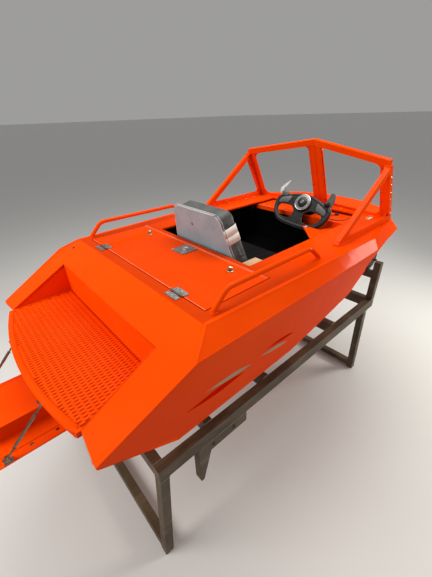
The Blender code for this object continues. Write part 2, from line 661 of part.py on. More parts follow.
def lanyard():
    """Cord from the kill switch, looped on the dash shelf, and its clip at the lip."""
    route = [(x, y, DASH_Z + LANYARD_R + GAP) for x, y in LANYARD]
    curve = bpy.data.curves.new("lanyard", "CURVE")
    curve.dimensions = "3D"
    curve.bevel_depth = LANYARD_R
    curve.bevel_resolution = 2
    curve.use_fill_caps = True
    spline = curve.splines.new("POLY")
    spline.points.add(len(route) - 1)
    for point, place_at in zip(spline.points, route):
        point.co = (*place_at, 1.0)
    curve.materials.append(material(LANYARD_RED))
    made = bpy.data.objects.new("lanyard", curve)
    made.parent = root
    bpy.context.scene.collection.objects.link(made)
    end = LANYARD[-1]
    clip = [(GAP, 0), (GAP, CLIP_R), (0.040, CLIP_R), (0.040, 0)]
    revolved("lanyard_clip", clip, (end[0], end[1], DASH_Z + CLIP_R + GAP), (-1, 0, 0), GRIP)


def screen():
    """Windscreen frame with no glass in it."""
    corner, centre = Vector(SCREEN_CORNER), Vector(SCREEN_CENTRE)
    base, base_mid, foot = Vector(SCREEN_BASE_CORNER), Vector(SCREEN_BASE_CENTRE), Vector(SCREEN_FOOT)

    def side_of(point, s):
        return Vector((point.x, s * point.y, point.z))

    beam("screen_top_bar", [side_of(corner, 1), centre, side_of(corner, -1)], (-0.3, 0, 1), 0.042, 0.028, ORANGE)
    end = Vector((0, 0.0155 + 0.003, 0))
    low = [side_of(base, 1) - end, base_mid, side_of(base, -1) + end]
    front = beam("screen_front", low, (0, 0, 1), 0.0230, 0.024, ORANGE)
    up = (centre - base_mid).normalized()
    middle = beam("screen_post_centre", [base_mid, centre - up * 0.0190], (0, 1, 0), 0.118, 0.010, ORANGE)
    boolean(front, middle, "UNION")
    for side, s in both_sides():
        low, high = side_of(base, s), side_of(corner, s)
        inward = Vector((0, -s * 0.038, 0))
        up = (high - low).normalized()
        post = [low + inward, high + inward - up * 0.012]
        tool = beam("screen_post_" + side, post, (0, 1, 0), 0.044, 0.010, ORANGE)
        boolean(front, tool, "UNION")
    seat_cut = beam("screen_bar_cut", [side_of(corner, 1), centre, side_of(corner, -1)], (-0.3, 0, 1),
                    0.042 + 2 * GAP, 0.060, ORANGE)
    boolean(front, seat_cut, "DIFFERENCE")
    high, low, toe = (corner.x, corner.z), (base.x, base.z), (foot.x, foot.z)
    outline = [(high[0] - 0.020, high[1] - 0.024), (high[0] + 0.012, high[1] - 0.024), (low[0] + 0.004, low[1] + 0.013),
               (low[0] + 0.004, 0.0005), (toe[0], 0.0005), (toe[0], 0.012)]
    hole = [(high[0] - 0.015, high[1] - 0.062), (low[0] - 0.045, low[1] + 0.024), (toe[0] + 0.093, 0.036)]
    for side, s in both_sides():
        y = sorted((s * (corner.y - 0.015), s * (corner.y + 0.015)))
        frame = prism("screen_side_" + side, outline, "y", y[0], y[1], ORANGE)
        opening = prism("screen_opening_" + side, hole, "y", y[0] - 0.1, y[1] + 0.1, ORANGE)
        boolean(frame, opening, "DIFFERENCE")


def jet():
    """Pump, impeller, steering nozzle, its cover, stays and the intake."""
    centre = (0, 0, JET_Z)
    back = (-1, 0, 0)
    pump = [(0.10 + GAP, JET_R), (0.42, JET_R - 0.006), (0.42, JET_R - 0.014), (0.10 + GAP, 0.060)]
    revolved("jet_pump", pump, centre, back, ALUMINIUM)
    blades = revolved("impeller", [(-0.050, 0), (-0.050, 0.010), (0.20, 0.010), (0.20, 0.020),
                                    (0.27, 0.022), (0.33, 0.006), (0.33, 0)], centre, back, STEEL, (-0.26, 0, JET_Z))
    for i in range(4):
        a = math.pi / 2 * i
        rings = []
        for r in (0.012, 0.048):
            ring = []
            for x, w in ((-0.215, -0.012), (-0.212, -0.008), (-0.262, 0.014), (-0.266, 0.010)):
                y = r * math.cos(a) - w * math.sin(a)
                z = r * math.sin(a) + w * math.cos(a)
                ring.append((x, y, JET_Z + z))
            rings.append(ring)
        blade = loft("blade_%d" % i, rings, STEEL, (-0.26, 0, JET_Z))
        boolean(blades, blade, "UNION")
    cone = [(0.448, 0.054), (0.560, 0.040), (0.560, 0.034), (0.448, 0.046)]
    nozzle = revolved("jet_nozzle", cone, centre, back, ALUMINIUM, (NOZZLE_X, 0, JET_Z))
    for name, s in (("upper", 1), ("lower", -1)):
        reach = sorted((JET_Z + s * 0.0700, JET_Z + s * 0.0760))
        ear = box("nozzle_ear_" + name, (NOZZLE_X - 0.046, -0.014, reach[0]), (NOZZLE_X + 0.010, 0.014, reach[1]),
                  ALUMINIUM, (NOZZLE_X, 0, JET_Z))
        web = sorted((JET_Z + s * 0.0500, JET_Z + s * 0.0755))
        link = box("nozzle_web_" + name, (NOZZLE_X - 0.050, -0.014, web[0]), (NOZZLE_X - 0.040, 0.014, web[1]),
                   ALUMINIUM, (NOZZLE_X, 0, JET_Z))
        pin = revolved("nozzle_pin_" + name, [(s * 0.0647, 0), (s * 0.0647, 0.006), (s * 0.073, 0.006), (s * 0.073, 0)],
                       (NOZZLE_X, 0, JET_Z), (0, 0, 1), ALUMINIUM, (NOZZLE_X, 0, JET_Z))
        boolean(nozzle, ear, "UNION")
        boolean(nozzle, link, "UNION")
        boolean(nozzle, pin, "UNION")
    walls = [(-0.10, -0.632), (-0.10, JET_Z + 0.075), (0.30, -0.560), (0.4595, -0.600), (0.4595, -0.632)]
    duct = prism("jet_intake", walls, "y", -0.0845, 0.0845, ALUMINIUM)
    hollow = [(-0.12, JET_Z - 0.055), (-0.12, JET_Z + 0.055), (0.30, -0.590), (0.42, -0.75), (0.17, -0.75), (0.10, -0.605)]
    bore = prism("intake_bore", hollow, "y", -0.055, 0.055, ALUMINIUM)
    boolean(duct, bore, "DIFFERENCE")
    aft, fore = COVER_X
    skin = 0.006
    hat = [(-COVER_FLANGE, COVER_SEAM_Z), (-COVER_HALF, COVER_SEAM_Z), (-COVER_HALF, COVER_Z), (COVER_HALF, COVER_Z),
           (COVER_HALF, COVER_SEAM_Z), (COVER_FLANGE, COVER_SEAM_Z), (COVER_FLANGE, COVER_SEAM_Z - skin),
           (COVER_HALF - skin, COVER_SEAM_Z - skin), (COVER_HALF - skin, COVER_Z - skin),
           (skin - COVER_HALF, COVER_Z - skin), (skin - COVER_HALF, COVER_SEAM_Z - skin),
           (-COVER_FLANGE, COVER_SEAM_Z - skin)]
    prism("jet_cover", hat, "x", aft, fore, ORANGE)
    for side, s in both_sides():
        low = Vector((aft + 0.055, s * (COVER_FLANGE - 0.012), COVER_SEAM_Z + GAP))
        high = Vector((-0.560, s * 0.255, PLATFORM_Z - PLATFORM_T - GAP))
        along = (high - low).normalized()
        route = [low, low + Vector((0, 0, 0.018)), low + Vector((0, 0, 0.018)) + along * 0.05,
                 low + Vector((0, 0, 0.018)) + along * 0.052, high - Vector((0, 0, 0.018)) - along * 0.052,
                 high - Vector((0, 0, 0.018)) - along * 0.05, high - Vector((0, 0, 0.018)), high]
        radii = [0.008, 0.007, 0.004, 0.0085, 0.0085, 0.004, 0.007, 0.008]
        tube("stay_" + side, route, radii, STEEL)


def engine():
    """Engine block on its two bearers under the hatch."""
    box("engine_block", (0.110, -0.200, -0.440), (0.440, 0.200, -0.075), CAST)
    bed = box("engine_bed", (0.08, -0.190, -0.4523), (0.47, 0.190, -0.4403), ALUMINIUM)
    for side, s in both_sides():
        rings = []
        for x in (0.08, 0.47):
            ring = []
            for y, top in ((0.150, False), (0.185, False), (0.185, True), (0.150, True)):
                ring.append((x + (0.002 if top else 0.0), s * y, -0.445 if top else bottom_top(x, y) + 0.0006))
            rings.append(ring)
        boolean(bed, loft("engine_bearer_" + side, rings, ALUMINIUM), "UNION")


def stand():
    """Welded stand of box section, with bunks and bow rolls under the hull."""
    half = BEAM / 2
    low = STAND_TOP - RAIL_H
    floor = -DECK_HEIGHT
    x0, x1 = STAND_X
    outer = STAND_Y + half
    inner = STAND_Y - half
    upper = box("stand_upper_frame", (x0 - half, -outer, low), (x1 + half, outer, STAND_TOP), PRIMER)
    bars = (x0, 0.06, 0.52, 1.30, x1)
    for at, (near, far) in enumerate(zip(bars, bars[1:])):
        bay = box("stand_bay_%d" % at, (near + half, -inner, low - 1), (far - half, inner, STAND_TOP + 1), PRIMER)
        boolean(upper, bay, "DIFFERENCE")
    roll_low = ROLL_Z - ROLL_R
    bracket = [(-0.050, low + 0.01), (0.300, low + 0.01), (0.300, low - 0.075), (0.030, low - 0.075),
               (-0.030, low - 0.280), (-0.050, low - 0.280)]
    for side, s in both_sides():
        y = sorted((s * inner, s * outer))
        upright = box("stand_upright_" + side, (x1 - half, y[0], STAND_TOP - 0.01), (x1 + half, y[1], UPRIGHT_TOP),
                      PRIMER)
        boolean(upper, upright, "UNION")
        boolean(upper, prism("stand_bracket_" + side, bracket, "y", y[0], y[1], PRIMER), "UNION")
    beam_low = roll_low - GAP - BEAM
    cross = box("stand_bow_beam", (x1 - half, -inner - 0.01, beam_low), (x1 + half, inner + 0.01, roll_low - GAP), PRIMER)
    boolean(upper, cross, "UNION")
    foot = floor + 0.020
    for end, x, lean in (("aft", x0, -LEG_LEAN), ("fore", x1 - 0.10, LEG_LEAN)):
        outline = [(outer, low - GAP), (outer, floor), (inner, floor), (inner, foot), (-inner, foot), (-inner, floor),
                   (-outer, floor), (-outer, low - GAP), (-inner, low - GAP), (-inner, foot + BEAM),
                   (inner, foot + BEAM), (inner, low - GAP)]
        legs = prism("stand_legs_" + end, outline, "x", x - half, x + half, PRIMER)
        shear = Matrix.Identity(4)
        shear[0][2] = lean / (floor - low)
        shear[0][3] = -lean / (floor - low) * low
        legs.data.transform(shear)
    for side, s in both_sides():
        rings = []
        for x in (-0.04, 0.58):
            ring = []
            for y, top in ((0.30, False), (0.38, False), (0.38, True), (0.30, True)):
                ring.append((x, s * y, bottom_top(x, y) - BOTTOM_T - 0.0006 if top else STAND_TOP + GAP))
            rings.append(ring)
        loft("bunk_" + side, rings, GRIP)
        roll = [(-0.115, 0), (-0.115, ROLL_R - 0.015), (-0.100, ROLL_R), (0.100, ROLL_R), (0.115, ROLL_R - 0.015),
                (0.115, 0)]
        revolved("bow_roll_" + side, roll, (x1, s * ROLL_Y, ROLL_Z), (0, 1, 0), GRIP)
    chock = [(1.275, STAND_TOP + GAP), (1.325, STAND_TOP + GAP), (1.325, -0.520), (1.275, -0.5405)]
    prism("bow_chock", chock, "y", -0.012, 0.012, GRIP)


def main():
    hull()
    decks()
    stern()
    hatch()
    rails()
    cockpit()
    helm_panel()
    seat()
    steering()
    lanyard()
    screen()
    jet()
    engine()
    stand()


main()
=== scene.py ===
"""Dressed look of the mini jet boat on its stand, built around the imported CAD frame.

Lengths are metres. Pieces are made in the boat frame, X forward from the aft edge of the
deck, Y to port, Z up from the deck, and moved to the CAD's frame by SHIFT.
"""
import json
import math
import random

import bmesh
import bpy
from mathutils import Matrix, Vector


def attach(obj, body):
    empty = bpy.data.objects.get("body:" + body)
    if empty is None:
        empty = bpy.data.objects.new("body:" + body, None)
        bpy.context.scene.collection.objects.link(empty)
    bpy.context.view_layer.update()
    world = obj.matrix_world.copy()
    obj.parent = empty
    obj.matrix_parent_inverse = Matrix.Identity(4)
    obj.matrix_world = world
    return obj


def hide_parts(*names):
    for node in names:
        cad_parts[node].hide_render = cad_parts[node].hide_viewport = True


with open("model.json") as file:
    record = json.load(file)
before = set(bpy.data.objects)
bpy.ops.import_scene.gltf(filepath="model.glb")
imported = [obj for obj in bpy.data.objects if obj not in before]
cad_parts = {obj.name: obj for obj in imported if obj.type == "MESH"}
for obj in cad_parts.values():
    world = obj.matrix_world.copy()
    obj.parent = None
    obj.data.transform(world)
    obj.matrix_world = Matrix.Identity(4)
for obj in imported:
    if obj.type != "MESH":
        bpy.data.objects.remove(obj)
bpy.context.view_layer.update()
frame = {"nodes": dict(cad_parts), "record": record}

SHIFT = Vector((-0.6875, 0.0, 1.47))
UP = (0, 0, 1)
# Signs of Y to port and to starboard
SIDES = (1, -1)
nodes = frame["nodes"]
random.seed(7)

# Camera at the photograph's viewing angle
CAMERA_PLACE = (-1.25168, -1.36889, 2.15773)
CAMERA_DEGREES = (59.921, 1.595, -41.675)
CAMERA_LENS, SENSOR_WIDTH = 25.217, 36
camera = bpy.data.objects.new("camera", bpy.data.cameras.new("camera"))
bpy.context.scene.collection.objects.link(camera)
camera.location = CAMERA_PLACE
camera.rotation_euler = tuple(math.radians(a) for a in CAMERA_DEGREES)
camera.data.sensor_fit = "HORIZONTAL"
camera.data.sensor_width = SENSOR_WIDTH
camera.data.lens = CAMERA_LENS
bpy.context.scene.camera = camera


# Materials

class Nodes:
    """Builds one material out of nodes."""

    def __init__(self, name, colour, rough, metal=0.0):
        self.mat = bpy.data.materials.new(name)
        self.mat.use_nodes = True
        self.tree = self.mat.node_tree
        self.shader = self.tree.nodes["Principled BSDF"]
        self.set(Base_Color=(*colour, 1), Roughness=rough, Metallic=metal)
        self.coords = self.tree.nodes.new("ShaderNodeTexCoord").outputs["Object"]

    def set(self, **values):
        for key, value in values.items():
            self.shader.inputs[key.replace("_", " ")].default_value = value
        return self

    def link(self, a, b):
        self.tree.links.new(a, b)

    def texture(self, kind, stretch=None, **values):
        """A texture in object coordinates, stretched along the axes."""
        node = self.tree.nodes.new(kind)
        for key, value in values.items():
            node.inputs[key].default_value = value
        where = self.coords
        if stretch:
            mapping = self.tree.nodes.new("ShaderNodeMapping")
            mapping.inputs["Scale"].default_value = stretch
            self.link(where, mapping.inputs["Vector"])
            where = mapping.outputs["Vector"]
        self.link(where, node.inputs["Vector"])
        return node.outputs

    def noise(self, scale, detail=4.0, rough=0.5, stretch=None):
        return self.texture("ShaderNodeTexNoise", stretch, Scale=scale, Detail=detail, Roughness=rough)["Fac"]

    def ramp(self, value, stops):
        node = self.tree.nodes.new("ShaderNodeValToRGB")
        self.link(value, node.inputs["Fac"])
        ramp = node.color_ramp
        ramp.elements[0].position, ramp.elements[0].color = stops[0][0], (*stops[0][1], 1)
        ramp.elements[1].position, ramp.elements[1].color = stops[-1][0], (*stops[-1][1], 1)
        for at, colour in stops[1:-1]:
            ramp.elements.new(at).color = (*colour, 1)
        return node.outputs["Color"]

    def mix(self, factor, a, b, blend="MIX"):
        node = self.tree.nodes.new("ShaderNodeMix")
        node.data_type = "RGBA"
        node.blend_type = blend
        for value, socket in ((factor, node.inputs[0]), (a, node.inputs[6]), (b, node.inputs[7])):
            if isinstance(value, (int, float)):
                socket.default_value = value
            elif isinstance(value, tuple):
                socket.default_value = (*value, 1)
            else:
                self.link(value, socket)
        return node.outputs[2]

    def span(self, value, low, high, to_low, to_high):
        node = self.tree.nodes.new("ShaderNodeMapRange")
        self.link(value, node.inputs["Value"])
        for key, number in (("From Min", low), ("From Max", high), ("To Min", to_low), ("To Max", to_high)):
            node.inputs[key].default_value = number
        return node.outputs["Result"]

    def colour(self, value):
        self.link(value, self.shader.inputs["Base Color"])

    def rough(self, value):
        self.link(value, self.shader.inputs["Roughness"])

    def bump(self, value, strength, distance=0.001, chain=None):
        node = self.tree.nodes.new("ShaderNodeBump")
        node.inputs["Strength"].default_value = strength
        node.inputs["Distance"].default_value = distance
        self.link(value, node.inputs["Height"])
        if chain is not None:
            self.link(chain, node.inputs["Normal"])
        self.link(node.outputs["Normal"], self.shader.inputs["Normal"])
        return node.outputs["Normal"]


def mottled(name, colour, rough, drift, spread, tones, fine, rough_span, bump=None, peel=None, metal=0.0):
    """Two tones mixed by a drifting noise.

    A fine noise sets the roughness and, with no peel given, the bump.
    """
    m = Nodes(name, colour, rough, metal)
    m.colour(m.mix(m.span(m.noise(*drift), *spread), *tones))
    grain = m.noise(*fine)
    if rough_span:
        m.rough(m.span(grain, *rough_span))
    if bump:
        m.bump(m.noise(*peel) if peel else grain, *bump)
    return m


def orange_paint(name="orange_paint", tone=1.0, shade_ramp=None):
    """Gloss orange over hand-welded plate: slow colour drift, faint dust, fine peel.

    A shade_ramp (from x, to x, tone there) brings the tone up to full along the boat: a painted shade that
    lifts along it. A tone under one is painted shade over the whole piece; a tone over one is a painted
    highlight.
    """
    m = Nodes(name, (0.85, 0.066, 0.002), 0.30)
    drift = m.noise(1.3, 3.0)
    fine = m.noise(38.0, 6.0, 0.65)
    dust = m.noise(5.0, 8.0, 0.7)
    deep, bright = (0.80 * tone, 0.050 * tone, 0.0), (0.88 * tone, 0.068 * tone, 0.001)
    base = m.ramp(drift, ((0.30, deep), (0.70, bright)))
    paint = m.mix(m.span(dust, 0.54, 0.80, 0.0, 0.10), base, (0.90, 0.11, 0.012))
    if shade_ramp:
        place = m.tree.nodes.new("ShaderNodeSeparateXYZ")
        m.link(m.coords, place.inputs[0])
        paint = m.mix(1.0, paint, m.span(place.outputs[0], *shade_ramp, 1.0), "MULTIPLY")
    m.colour(paint)
    m.rough(m.span(fine, 0.30, 0.75, 0.30, 0.42))
    peel = m.bump(m.noise(260.0, 2.0), 0.03, 0.0006)
    m.bump(m.noise(2.2, 2.0), 0.05, 0.006, peel)
    return m.set(Coat_Weight=0.12, Coat_Roughness=0.13, Specular_IOR_Level=0.0).mat


def black_liner():
    return mottled("black_liner", (0.006, 0.006, 0.007), 0.80, (6.0, 5.0), (0.4, 0.8, 0.0, 0.5),
                   ((0.0012, 0.0012, 0.0014), (0.0036, 0.0035, 0.0038)),
                   (420.0, 6.0, 0.7), (0.2, 0.8, 0.78, 0.95), (0.35, 0.0012)).set(Specular_IOR_Level=0.02).mat


def stainless(name="stainless", colour=(0.52, 0.52, 0.50), rough=0.22):
    """Brushed steel with darker smears."""
    dark = tuple(c * 0.62 for c in colour)
    return mottled(name, colour, rough, (22.0, 5.0), (0.35, 0.75, 0.0, 0.8), (colour, dark),
                   (60.0, 4.0, 0.6, (1.0, 30.0, 1.0)), (0.3, 0.7, rough - 0.08, rough + 0.16), (0.10, 0.0004),
                   metal=1.0).mat


def bare_aluminium():
    return mottled("bare_aluminium", (0.52, 0.53, 0.53), 0.42, (11.0, 6.0, 0.7), (0.3, 0.7, 0.0, 1.0),
                   ((0.34, 0.34, 0.33), (0.60, 0.61, 0.61)),
                   (150.0, 6.0, 0.6), (0.2, 0.8, 0.30, 0.58), (0.28, 0.0008), metal=1.0).mat


def brown_primer():
    """Red-brown primer on mill steel, thin in lighter streaks, with dark grit."""
    m = Nodes("brown_primer", (0.15, 0.085, 0.055), 0.55)
    cloud = m.noise(3.2, 6.0, 0.65)
    grit = m.noise(120.0, 5.0, 0.7)
    drag = m.noise(14.0, 5.0, 0.6, (0.25, 1.0, 1.0))
    base = m.ramp(cloud, ((0.28, (0.045, 0.028, 0.014)), (0.52, (0.078, 0.053, 0.029)),
                          (0.76, (0.130, 0.092, 0.054))))
    streak = m.mix(m.span(drag, 0.50, 0.75, 0.0, 0.50), base, (0.215, 0.150, 0.095))
    m.colour(m.mix(m.span(grit, 0.62, 0.75, 0.0, 0.6), streak, (0.075, 0.036, 0.020)))
    m.rough(m.span(grit, 0.2, 0.8, 0.42, 0.70))
    m.bump(grit, 0.22, 0.0008)
    return m.set(Specular_IOR_Level=0.35).mat


def weld_metal():
    return mottled("weld_metal", (0.24, 0.19, 0.15), 0.42, (240.0, 4.0, 0.6), (0.3, 0.7, 0.0, 1.0),
                   ((0.11, 0.075, 0.055), (0.36, 0.30, 0.25)),
                   (240.0, 4.0, 0.6), (0.2, 0.8, 0.30, 0.62), (0.40, 0.0008), metal=0.55).mat


def vinyl(name, dark, light, grain, rough, gloss=0.4):
    """Coated upholstery cloth: pebble grain with creases and rubbed high spots."""
    m = Nodes(name, dark, rough)
    pebble = m.texture("ShaderNodeTexVoronoi", Scale=grain)["Distance"]
    m.colour(m.mix(m.span(m.noise(9.0, 6.0, 0.6), 0.35, 0.70, 0.0, 1.0), dark, light))
    m.rough(m.span(m.noise(30.0, 5.0, 0.7), 0.25, 0.75, rough - 0.10, rough + 0.12))
    first = m.bump(pebble, 0.30, 0.0006)
    m.bump(m.noise(26.0, 3.0), 0.16, 0.0020, first)
    return m.set(Specular_IOR_Level=gloss).mat


def rubber(name="grip_rubber", colour=(0.016, 0.016, 0.017), rough=0.52):
    """Dull rubber with pores and pale dust."""
    light = tuple(c * 2.6 + 0.010 for c in colour)
    return mottled(name, colour, rough, (9.0, 7.0, 0.7), (0.50, 0.80, 0.0, 0.6), (colour, light),
                   (310.0, 4.0, 0.6), (0.2, 0.8, rough - 0.10, rough + 0.14),
                   (0.20, 0.0006)).set(Specular_IOR_Level=0.35).mat


def beige_board():
    m = Nodes("beige_board", (0.52, 0.34, 0.19), 0.62)
    grain = m.noise(26.0, 6.0, 0.6, (0.12, 1.0, 1.0))
    fine = m.noise(190.0, 4.0, 0.6, (0.2, 1.0, 1.0))
    base = m.ramp(grain, ((0.30, (0.36, 0.21, 0.11)), (0.60, (0.56, 0.37, 0.21)), (0.80, (0.66, 0.47, 0.29))))
    m.colour(m.mix(m.span(fine, 0.55, 0.8, 0.0, 0.4), base, (0.28, 0.16, 0.08)))
    m.rough(m.span(fine, 0.2, 0.8, 0.50, 0.75))
    m.bump(fine, 0.25, 0.0006)
    return m.mat


def engine_grey():
    return mottled("engine_grey", (0.11, 0.11, 0.12), 0.50, (6.0, 6.0, 0.6), (0.3, 0.7, 0.0, 1.0),
                   ((0.06, 0.06, 0.06), (0.17, 0.17, 0.18)),
                   (6.0, 6.0, 0.6), (0.3, 0.7, 0.35, 0.62), (0.30, 0.0010), (130.0, 6.0, 0.6), 0.3).mat


def lanyard_red():
    return mottled("lanyard_red", (0.055, 0.004, 0.005), 0.48, (220.0, 4.0), (0.0, 1.0, 0.0, 1.0),
                   ((0.040, 0.003, 0.004), (0.085, 0.008, 0.008)), (600.0, 3.0), None, (0.3, 0.0004)).mat


def stripe_paint(name, tone, rough):
    """Flat stripe paint, worn through to the orange in places."""
    return mottled(name, tone, rough, (34.0, 6.0, 0.7), (0.55, 0.80, 0.0, 0.5), (tone, (0.60, 0.060, 0.010)),
                   (34.0, 6.0, 0.7), (0.3, 0.7, rough - 0.08, rough + 0.12), (0.06, 0.0004),
                   (250.0, 2.0)).set(Specular_IOR_Level=0.0).mat


def edge_highlight():
    """Lighter orange along a bent lip: a painted highlight."""
    return mottled("edge_highlight", (0.95, 0.19, 0.08), 0.34, (7.0, 5.0), (0.35, 0.70, 0.0, 1.0),
                   ((0.95, 0.23, 0.11), (0.88, 0.10, 0.02)), (60.0, 4.0), (0.3, 0.7, 0.26, 0.42),
                   (0.03, 0.0006), (260.0, 2.0)).set(Coat_Weight=0.3, Coat_Roughness=0.2).mat


def masking_tape():
    return mottled("masking_tape", (0.66, 0.62, 0.53), 0.58, (20.0, 5.0), (0.4, 0.75, 0.0, 1.0),
                   ((0.80, 0.80, 0.75), (0.66, 0.64, 0.56)), (300.0, 4.0, 0.6, (1.0, 1.0, 0.12)),
                   (0.2, 0.8, 0.48, 0.70), (0.35, 0.0005)).mat


def wheel_plastic():
    return mottled("wheel_plate", (0.010, 0.010, 0.011), 0.30, (12.0, 6.0), (0.5, 0.8, 0.0, 0.6),
                   ((0.009, 0.009, 0.010), (0.028, 0.027, 0.026)), (60.0, 5.0), (0.3, 0.7, 0.22, 0.42),
                   (0.08, 0.0004), (240.0, 3.0)).mat


def insert_plastic():
    return mottled("grey_insert", (0.17, 0.17, 0.175), 0.38, (14.0, 5.0), (0.0, 1.0, 0.0, 1.0),
                   ((0.060, 0.060, 0.063), (0.125, 0.125, 0.125)), (80.0, 5.0), (0.3, 0.7, 0.30, 0.50),
                   (0.12, 0.0004), (260.0, 3.0)).mat


def clear_film():
    return mottled("clear_film", (0.80, 0.80, 0.79), 0.22, (40.0, 5.0, 0.7), (0.4, 0.7, 0.0, 1.0),
                   ((0.74, 0.74, 0.73), (0.92, 0.92, 0.91)), (40.0, 5.0, 0.7), None,
                   (0.5, 0.002)).set(Alpha=0.42).mat


def cream_plastic():
    return mottled("cream_plastic", (0.62, 0.52, 0.36), 0.45, (25.0, 5.0), (0.0, 1.0, 0.0, 1.0),
                   ((0.55, 0.45, 0.30), (0.70, 0.61, 0.45)), (90.0, 4.0), (0.3, 0.7, 0.36, 0.56)).mat


looks = {
    "lanyard_red": lanyard_red(),
    "orange_paint": orange_paint(),
    "black_liner": black_liner(),
    "stainless": stainless(),
    "bare_aluminium": bare_aluminium(),
    "brown_primer": brown_primer(),
    "shell_grey": vinyl("shell_grey", (0.225, 0.300, 0.345), (0.280, 0.365, 0.410), 620.0, 0.42, 0.45),
    "pad_grey": vinyl("pad_grey", (0.050, 0.053, 0.054), (0.090, 0.092, 0.092), 540.0, 0.46),
    "seat_black": vinyl("seat_black", (0.0045, 0.0045, 0.005), (0.008, 0.008, 0.009), 540.0, 0.72, 0.04),
    "grip_rubber": rubber(),
    "beige_board": beige_board(),
    "engine_grey": engine_grey(),
}
orange, steel, grip = looks["orange_paint"], looks["stainless"], looks["grip_rubber"]
# Painted shade: the aft deck and the hatch take the orange darkened, and the foredeck is darkened at its aft
# end, coming up to full tone forward.
own_looks = {
    "aft_deck": orange_paint("deck_orange", 0.64),
    "engine_hatch": orange_paint("hatch_orange", 0.80),
    "foredeck": orange_paint("foredeck_orange", 1.0, (-0.226, 0.35, 0.64)),
}
rim_look = rubber("rim_rubber", (0.020, 0.020, 0.021), 0.42)
stay_look = stainless("stay_steel", (0.34, 0.27, 0.19), 0.26)
for row in frame["record"]["subparts"]:
    mesh = nodes[row["node"]].data
    mesh.materials.clear()
    mesh.materials.append(own_looks.get(row["node"], looks[row["material_slot"]]))


# Floor and light

FLOOR_SIZE = 400
WORLD_STRENGTH = 0.34
bpy.ops.mesh.primitive_plane_add(size=FLOOR_SIZE)
floor = bpy.context.object
floor.name = "studio_floor"
pale = Nodes("studio_floor", (0.66, 0.66, 0.655), 0.80)
pale.rough(pale.span(pale.noise(3.0, 3.0), 0.3, 0.7, 0.60, 0.72))
floor.data.materials.append(pale.mat)

world = bpy.data.worlds.new("studio")
world.use_nodes = True
world.node_tree.nodes["Background"].inputs[0].default_value = (1.0, 0.99, 0.97, 1)
world.node_tree.nodes["Background"].inputs[1].default_value = WORLD_STRENGTH
bpy.context.scene.world = world
bpy.context.scene.view_settings.view_transform = "Standard"


def panel_light(name, place, aim, size, power, tint=(1.0, 0.96, 0.90), glossy=True):
    data = bpy.data.lights.new(name, "AREA")
    data.shape = "RECTANGLE"
    data.size, data.size_y = size
    data.energy = power
    data.color = tint
    made = bpy.data.objects.new(name, data)
    made.location = place
    made.rotation_euler = (Vector(aim) - Vector(place)).to_track_quat("-Z", "Y").to_euler()
    made.visible_camera = False
    made.visible_glossy = glossy
    bpy.context.scene.collection.objects.link(made)


panel_light("key_panel", (-3.6, 0.8, 2.9), (-0.2, 0.0, 1.3), (2.2, 1.8), 112, glossy=False)
panel_light("top_panel", (0.9, 0.4, 4.6), (0.6, 0.0, 1.3), (4.0, 3.0), 148)
panel_light("bow_panel", (3.3, -2.1, 2.0), (0.7, -0.7, 1.42), (1.1, 0.9), 72, (1.0, 0.98, 0.86))


# Mesh helpers

def circle(count, start=0.0):
    """Cosine and sine of evenly spaced angles, once round."""
    angles = [2 * math.pi * k / count + start for k in range(count)]
    return [(math.cos(a), math.sin(a)) for a in angles]


def heading(path, i, closed=False):
    """Direction of a path at one of its points."""
    count = len(path)
    ahead = path[(i + 1) % count] if closed else path[min(i + 1, count - 1)]
    behind = path[i - 1] if closed else path[max(i - 1, 0)]
    return (ahead - behind).normalized()


def as_points(points):
    return [Vector(p) for p in points]


def mirrored(place, s):
    """A place given to port, on the side of the sign s."""
    return Vector((place[0], s * place[1], place[2]))


def basis(axis, up=UP):
    """An axis and two unit vectors square to it."""
    axis = Vector(axis).normalized()
    side = axis.cross(Vector(up))
    if side.length < 1e-4:
        side = axis.cross(Vector((0, 1, 0)))
    side.normalize()
    return axis, side, side.cross(axis).normalized()


def finished(mesh, look, merge=0.0):
    """Faces turned outward and one material; merge joins points closer than that."""
    shape = bmesh.new()
    shape.from_mesh(mesh)
    if merge:
        bmesh.ops.remove_doubles(shape, verts=shape.verts, dist=merge)
    bmesh.ops.recalc_face_normals(shape, faces=shape.faces)
    shape.to_mesh(mesh)
    shape.free()
    mesh.materials.clear()
    mesh.materials.append(look)
    return mesh


def placed(name, mesh, body):
    """An object for the mesh that rides on a body."""
    made = bpy.data.objects.new(name, mesh)
    bpy.context.scene.collection.objects.link(made)
    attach(made, body)
    return made


